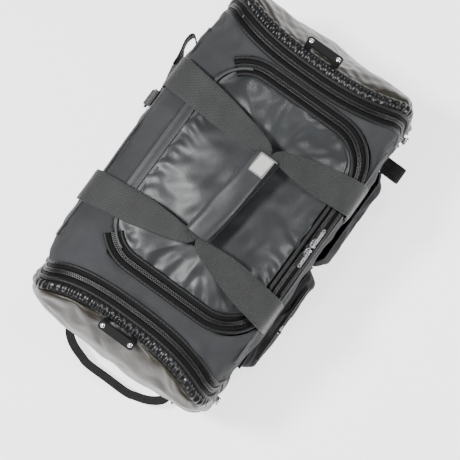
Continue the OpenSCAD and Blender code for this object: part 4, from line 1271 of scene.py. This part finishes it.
def build_pocket(node, seed, droop=0.0, closed=True):
    """A pocket on the right side: a filled panel with a hem along its top and a bound edge round the rest."""
    low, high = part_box(node)
    name = node + "_panel"
    x0, x1, z0, z1 = low.x - MID_X, high.x - MID_X, low.z, high.z
    depth = 0.0185
    columns, rows = int((x1 - x0) / 0.0045), int((z1 - z0) / 0.0045)
    u, v = np.meshgrid(np.linspace(0, 1, columns), np.linspace(0, 1, rows))
    x = x0 + (x1 - x0) * u
    top = z1 - droop * np.sin(math.pi * u) ** 0.8
    z = z0 + (top - z0) * v
    across = np.clip(np.minimum(u, 1 - u) * (x1 - x0) / 0.018, 0, 1)
    across = np.sin(across * math.pi / 2) ** 0.8
    rise = np.sin(math.pi * np.clip(v * (1.0 if closed else 0.93), 0, 1)) ** 0.55
    out = 0.0016 + depth * across * rise
    y = np.vectorize(body_y)(z) + out
    points = np.stack([MID_X + x, -y, z], -1)
    pins = edge_pins(rows, columns)
    if not closed:
        pins[-1, 3:-3] = 0.85
    uvs = np.stack([x, z], -1)
    pocket = panel(name, points, uvs, pins, swell=0.035, puff=1.6, limit=0.006, thickness=0.0014, seed=seed,
                   relief=0.0018, bend=0.5, materials=(POCKET, LINING))
    finish_piece(pocket, "bag", None, (node,))
    rim = smooth_points(points[-1, ::3], 0.003)
    route = Route(rim + np.array([0, -0.0008, 0]), np.tile([0, -1.0, 0.25], (len(rim), 1)))
    hem = sweep(name + "_hem", route, flat_profile(0.006 if closed else 0.009, 0.0016))
    finish_piece(hem, "bag", POCKET)
    outline = smooth_points(np.concatenate([points[::3, 0], points[0, ::3], points[::-3, -1]]), 0.004)
    route = Route(outline + np.array([0, -0.0006, 0]), np.tile([0, -1.0, 0.0], (len(outline), 1)))
    edge = sweep(name + "_edge", route, round_profile(0.0015, 0.0010))
    finish_piece(edge, "bag", POCKET)


def build_pocket_zip():
    low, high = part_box("pocket_zip")
    count = 120
    x = np.linspace(low.x, high.x, count)
    middle = (np.full_like(x, (low.y + high.y) / 2 - 0.0035), np.full_like(x, (low.z + high.z) / 2))
    route = Route(np.stack([x, *middle], -1), np.tile([0, -0.86, 0.5], (count, 1)))
    tape = sweep("pocket_zip_tape", route, flat_profile(0.0135, 0.0010))
    finish_piece(tape, "bag", TAPE, ("pocket_zip",))
    for sign, row in ((-1, "d"), (1, "u")):
        teeth = boxes_along("pocket_zip_teeth_" + row, route, (sign * 0.0009, 0.0009),
                            (0.0013, 0.0026, 0.0014), 0.0026, 0.25 * sign)
        finish_piece(teeth, "bag", TEETH)


# ---------- straps, tabs and loops ----------


def webbing_piece(name, body, nodes, rows, width, thick, step=0.003):
    """Flat black webbing through given (point, outward normal) pairs."""
    even = smooth_points([(*point, *normal) for point, normal in rows], step)
    obj = sweep(name, Route(even[:, :3], even[:, 3:6]), flat_profile(width, thick, -thick / 2))
    return finish_piece(obj, body, BLACK_WEBBING, nodes)


# the shoulder strap's places are in millimetres from the bag's middle, as mm() takes them
SIDE = HALF_WIDTH * 1000
RING_B, RING_A = (56.0, 220.0), (-181.0, 132.0)  # along and up
RING_Y = (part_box("d_rings")[0].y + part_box("d_rings")[1].y) / 2 * 1000
HOOK_DROP = 46.0
PAD_Y = SIDE + 16
OUT = (0, 1, 0)


def build_ring_tab(letter, ring, nodes):
    """Webbing folded round a D-ring and sewn to the left side."""
    x, z = ring
    radius = 3.1
    back = [(body_y((z + 30) / 1000) * 1000 + 1.5, z + 30), (SIDE - 0.5, z + 22), (SIDE, z + 13)]
    front = [(SIDE + 4.5, z + 13), (SIDE + 3.5, z + 22), (body_y((z + 31) / 1000) * 1000 + 4.0, z + 31)]
    rows = [(mm(x, *p), (0, -1, 0)) for p in back]
    for a in [share * math.pi / 2 for share in np.linspace(-1.25, 1.2, 15)]:
        rows.append((mm(x, RING_Y + radius * math.sin(a), z - radius * math.cos(a)),
                     (0, math.sin(a), -math.cos(a))))
    rows += [(mm(x, *p), (0, 1, 0.1)) for p in front]
    webbing_piece("ring_tab_" + letter, "bag", nodes, rows, STRAP, 0.0018, 0.0015)


def build_shoulder_webbing():
    upper = [((RING_B[0], RING_Y, RING_B[1] - HOOK_DROP), OUT), ((56, RING_Y, 162), OUT),
             ((70, SIDE + 8, 154), OUT), ((86, SIDE + 7, 149), OUT),
             ((114, SIDE + 5.5, 134), OUT), ((148, SIDE + 8, 122), (-0.1, 1, 0)),
             ((172, SIDE + 16, 114), (-0.45, 1, 0)), ((186, SIDE + 27, 112), (-1, 0.1, 0)),
             ((188, SIDE + 34, 112), (-1, -0.4, 0)), ((176, SIDE + 37, 111), (-0.1, -1, 0)),
             ((162, SIDE + 35, 108), (0.1, -1, 0)), ((150, SIDE + 31, 105), (0.1, -1, 0.2)),
             ((134, SIDE + 29, 104), (0.1, -1, 0.3))]
    lower = [(-50, PAD_Y, 78), (-62, PAD_Y, 75), (-80, PAD_Y - 3, 66), (-98, PAD_Y - 3, 66),
             (-116, PAD_Y - 3, 66), (-145, PAD_Y - 5, 57), (-167, PAD_Y - 6, 62), (RING_A[0], RING_Y, 76),
             (RING_A[0], RING_Y, RING_A[1] - HOOK_DROP)]
    rows = [(mm(*point), normal) for point, normal in upper]
    webbing_piece("strap_upper", "bag", ("shoulder_webbing",), rows, STRAP, 0.0022)
    webbing_piece("strap_lower", "bag", (), [(mm(*point), OUT) for point in lower], STRAP, 0.0022)


def build_shoulder_pad():
    # points along the pad, then its width and thickness there
    pad = [(139, PAD_Y + 13, 104, 30, 5), (136, PAD_Y + 13, 104, 44, 7.5), (125, PAD_Y + 11, 103, 56, 9),
           (99, PAD_Y + 7, 98, 62, 10.5), (52, PAD_Y + 2, 92, 63, 10.5), (2, PAD_Y, 84, 60, 10.5),
           (-41, PAD_Y, 79, 54, 9.5), (-51, PAD_Y, 78, 42, 8), (-54, PAD_Y, 78, 30, 5)]
    path = smooth_points([tuple(mm(*p[:3])) + p[3:] for p in pad], 0.0035)
    wide, thick = path[:, 3], path[:, 4]
    lean = np.interp(path[:, 0] - MID_X, [0, 0.06, 0.14], [0.0, 0.12, 0.32])
    route = Route(path[:, :3], np.stack([0 * lean, np.cos(lean), np.sin(lean)], -1))
    n = 40
    profile = np.array([rounded_box(2 * math.pi * k / n, 0.5, 0.5, 0.75, 0.8) for k in range(n)])
    cover = sweep("shoulder_pad_cover", route, profile, widths=wide / 1000, heights=thick / 1000)
    co = coordinates(cover)
    set_coordinates(cover, co + normals_of(cover) * (0.0007 * Ripple(61, 0.03)(co))[:, None])
    # the knit runs straight along and across the pad
    along = np.repeat(route.length[:, None], n, 1).reshape(-1)
    around = np.tile(profile[:, 0], len(path)) * np.repeat(wide, n) / 1000
    set_uvs(cover.data, cover.data.uv_layers[0], np.stack([along, around], -1))
    finish_piece(cover, "bag", AIR_MESH, ("shoulder_pad",))
    for k, sign in enumerate((-1, 1)):
        edge_points = route.p + route.side * (sign * 0.47 * wide / 1000)[:, None]
        binding = sweep(f"shoulder_pad_binding_{k}", Route(edge_points, route.n), round_profile(0.0026, 0.0))
        finish_piece(binding, "bag", TAPE)


def build_side_tab():
    """The webbing tab on the right side near end B, folded back on itself."""
    low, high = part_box("side_tab")
    x, z, reach = (low.x + high.x) / 2, (low.z + high.z) / 2, -low.y
    rows = [((x, -0.150, z + 0.002), (0, 0, 1)), ((x, -0.166, z + 0.001), (0, 0, 1)),
            ((x, -0.180, z), (0, 0, 1)), ((x, -0.192, z), (0, -0.1, 1)),
            ((x, -reach, z - 0.002), (0, -0.7, 0.7)),
            ((x, -reach - 0.0015, z - 0.0055), (0, -1, 0)), ((x, -reach, z - 0.0085), (0, -0.7, -0.7)),
            ((x, -0.190, z - 0.0090), (0, 0, -1)), ((x, -0.170, z - 0.0065), (0, 0, -1))]
    webbing_piece("side_tab_loop", "bag", ("side_tab",), rows, high.x - low.x, 0.0022, 0.002)


def build_haul_loop():
    """The pull loop past end A, hanging at a slant from its brackets."""
    axis_x, axis_z = MID_X - 0.295, 0.045
    middle_y, half_span, droop = -0.008, 0.095, math.radians(18)
    tilt = np.array([-math.cos(droop), 0, -math.sin(droop)])
    up = np.array([-math.sin(droop), 0, math.cos(droop)])
    # distance from the brackets, and share of the half span
    leg = [(0.000, 1.0), (0.009, 0.97), (0.018, 0.88), (0.026, 0.74), (0.032, 0.56)]
    places = [(a, -b) for a, b in leg] + [(0.036, c) for c in (-0.4, 0.0, 0.4)] + leg[::-1]
    rows = [(np.array([axis_x, middle_y + b * half_span, axis_z]) + tilt * a, up) for a, b in places]
    webbing_piece("haul_webbing", "haul_loop", ("haul_loop",), rows, 0.015, 0.0026)


# ---------- what stays as it is in the frame, with its own finish ----------


def paint_frame():
    """Finishes of the CAD nodes that are shown as they are."""
    shown_as_built = (
        (NICKEL, ("d_rings", "snap_hooks", "grab_rivets_a", "grab_rivets_b", "main_slider_a", "main_slider_b",
                  "main_pull_a", "main_pull_b", "pocket_pull")),
        (GUNMETAL, ("pocket_slider",)),
        (PLASTIC, ("strap_adjuster", "haul_brackets", "wheel_housings", "skid_rails", "base_board")),
        (RUBBER, ("grab_handle_a", "grab_handle_b", "feet")),
        (STEEL, ("base_screws", "axles", "bearings_left", "bearings_right")),
        (HUB, ("wheel_hub_left", "wheel_hub_right")),
        (TYRE, ("tyre_left", "tyre_right")),
        (PIPING, ("piping",)),
        (LINING, ("dividers",)),
        (NICKEL, [f"end_{part}_{x}_{end}"
                  for x in "ab" for part in ("slider", "pull") for end in ("low", "high")]),
    )
    for material, names in shown_as_built:
        for name in names:
            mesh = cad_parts[name].data
            if not mesh.materials:
                mesh.materials.append(material)
            for i in range(len(mesh.materials)):
                mesh.materials[i] = material


def build_dividers():
    """Soft mesh walls inside, in place of the plain boards."""
    low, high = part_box("dividers")
    for k, x in enumerate((low.x + 0.0015, high.x - 0.0015)):
        n = 40
        u, v = np.meshgrid(np.linspace(-1, 1, n), np.linspace(0, 1, n))
        z = low.z + 0.004 + (high.z - low.z - 0.010) * v
        reach = np.vectorize(body_y)(np.clip(z, 0.05, 1)) - 0.006
        wave = 0.0025 * np.sin(u * 4) * np.sin(v * 5) * np.sin(math.pi * v)
        points = np.stack([x + wave, u * reach, z], -1)
        wall = grid_object(f"divider_wall_{k}", points, np.stack([u * 0.15, v * 0.25], -1))
        finish_cloth(wall, 0.0012, None, 0)
        finish_piece(wall, "bag", LINING, ("dividers",) if k == 0 else ())


def build_body_piping():
    """Light piping along the body's two upper edges."""
    low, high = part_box("piping")
    radius = 0.0022
    x = np.linspace(low.x, high.x, 120)
    for k, side in enumerate((-1, 1)):
        y = np.full_like(x, side * (high.y - radius)) + 0.0006 * np.sin(x * 45 + k)
        line = np.stack([x, y, np.full_like(x, (low.z + high.z) / 2)], -1)
        pipe = sweep(f"edge_piping_{k}", Route(line, np.tile([0, side * 0.7, 0.7], (len(x), 1))),
                     round_profile(radius, 0.0))
        finish_piece(pipe, "bag", PIPING, ("piping",) if k == 0 else ())


# ---------- floor, light and camera ----------


def link_object(name, data):
    obj = bpy.data.objects.new(name, data)
    bpy.context.scene.collection.objects.link(obj)
    return obj


def build_floor():
    size, z = 6.0, -0.0004
    floor = new_object("floor", [(-size, -size, z), (size, -size, z), (size, size, z), (-size, size, z)],
                       [(0, 1, 2, 3)], [(0, 0), (1, 0), (1, 1), (0, 1)])
    paint = Paint("pale_floor", rough=0.9, specular=0.1)
    tone = paint.ramp(paint.noise(1.5, 2), 0.3, 0.7)
    paint.colour(paint.mix(tone, (0.93, 0.93, 0.93), (0.95, 0.95, 0.95)))
    paint.shader.inputs["Emission Color"].default_value = (1.0, 1.0, 1.0, 1)
    paint.shader.inputs["Emission Strength"].default_value = 1.7
    floor.data.materials.append(paint.m)


def build_world():
    world = bpy.context.scene.world or bpy.data.worlds.new("World")
    bpy.context.scene.world = world
    world.use_nodes = True
    background = world.node_tree.nodes["Background"].inputs
    background["Color"].default_value = (1.0, 1.0, 1.0, 1)
    background["Strength"].default_value = 0.14


def build_lamps():
    for name, energy, size, place, target in (
            ("key", 50, 0.32, (-0.35, 0.75, 1.9), (0, 0, 0.15)),
            ("end_b", 11, 0.35, (1.3, 0.1, 1.3), (0.25, 0, 0.15)),
            ("end_a", 11, 0.30, (-1.3, 0.1, 1.3), (-0.25, 0, 0.15)),
            ("front", 20, 0.4, (0.2, -1.4, 1.3), (0, 0, 0.15))):
        data = bpy.data.lights.new(name, "AREA")
        data.energy, data.shape, data.size = energy, "DISK", size
        lamp = link_object(name, data)
        lamp.location = (place[0] + MID_X, place[1], place[2])
        aim = Vector((target[0] + MID_X, target[1], target[2])) - lamp.location
        lamp.rotation_mode = "QUATERNION"
        lamp.rotation_quaternion = aim.to_track_quat("-Z", "Y")


def build_camera():
    """The photo's view, found by fitting a camera to the bag's outline."""
    data = bpy.data.cameras.new("camera")
    data.sensor_width, data.lens = 36.0, 81.66
    right, up = (0.58855, -0.80844, -0.00573), (0.80617, 0.58634, 0.07933)
    back = (-0.06078, -0.05131, 0.99683)
    turn = Matrix((right, up, back)).transposed()
    camera = link_object("camera", data)
    camera.matrix_world = Matrix.Translation((MID_X - 0.12332, -0.11403, 1.72029)) @ turn.to_4x4()
    bpy.context.scene.camera = camera


build_floor()
build_world()
build_lamps()
build_camera()
paint_frame()
build_body()
build_tray()
build_base_piping()
for end_side, end_letter in ((-1, "a"), (1, "b")):
    build_gathered_band(end_side, end_letter)
    build_end_panel(end_side, end_letter)
build_lid()
build_hinge_seam()
build_zips()
build_handle(1, "handle_left", GRIP_MID.y + 0.0065)
build_handle(-1, "handle_right", GRIP_MID.y - 0.0115)
build_grip()
build_hook_tape()
build_label()
build_anchors()
build_pocket("zip_pocket", 31)
build_pocket("slip_pocket", 37, droop=0.016, closed=False)
build_pocket_zip()
build_ring_tab("b", RING_B, ("ring_tabs",))
build_ring_tab("a", RING_A, ())
build_shoulder_webbing()
build_shoulder_pad()
build_side_tab()
build_haul_loop()
build_dividers()
build_body_piping()
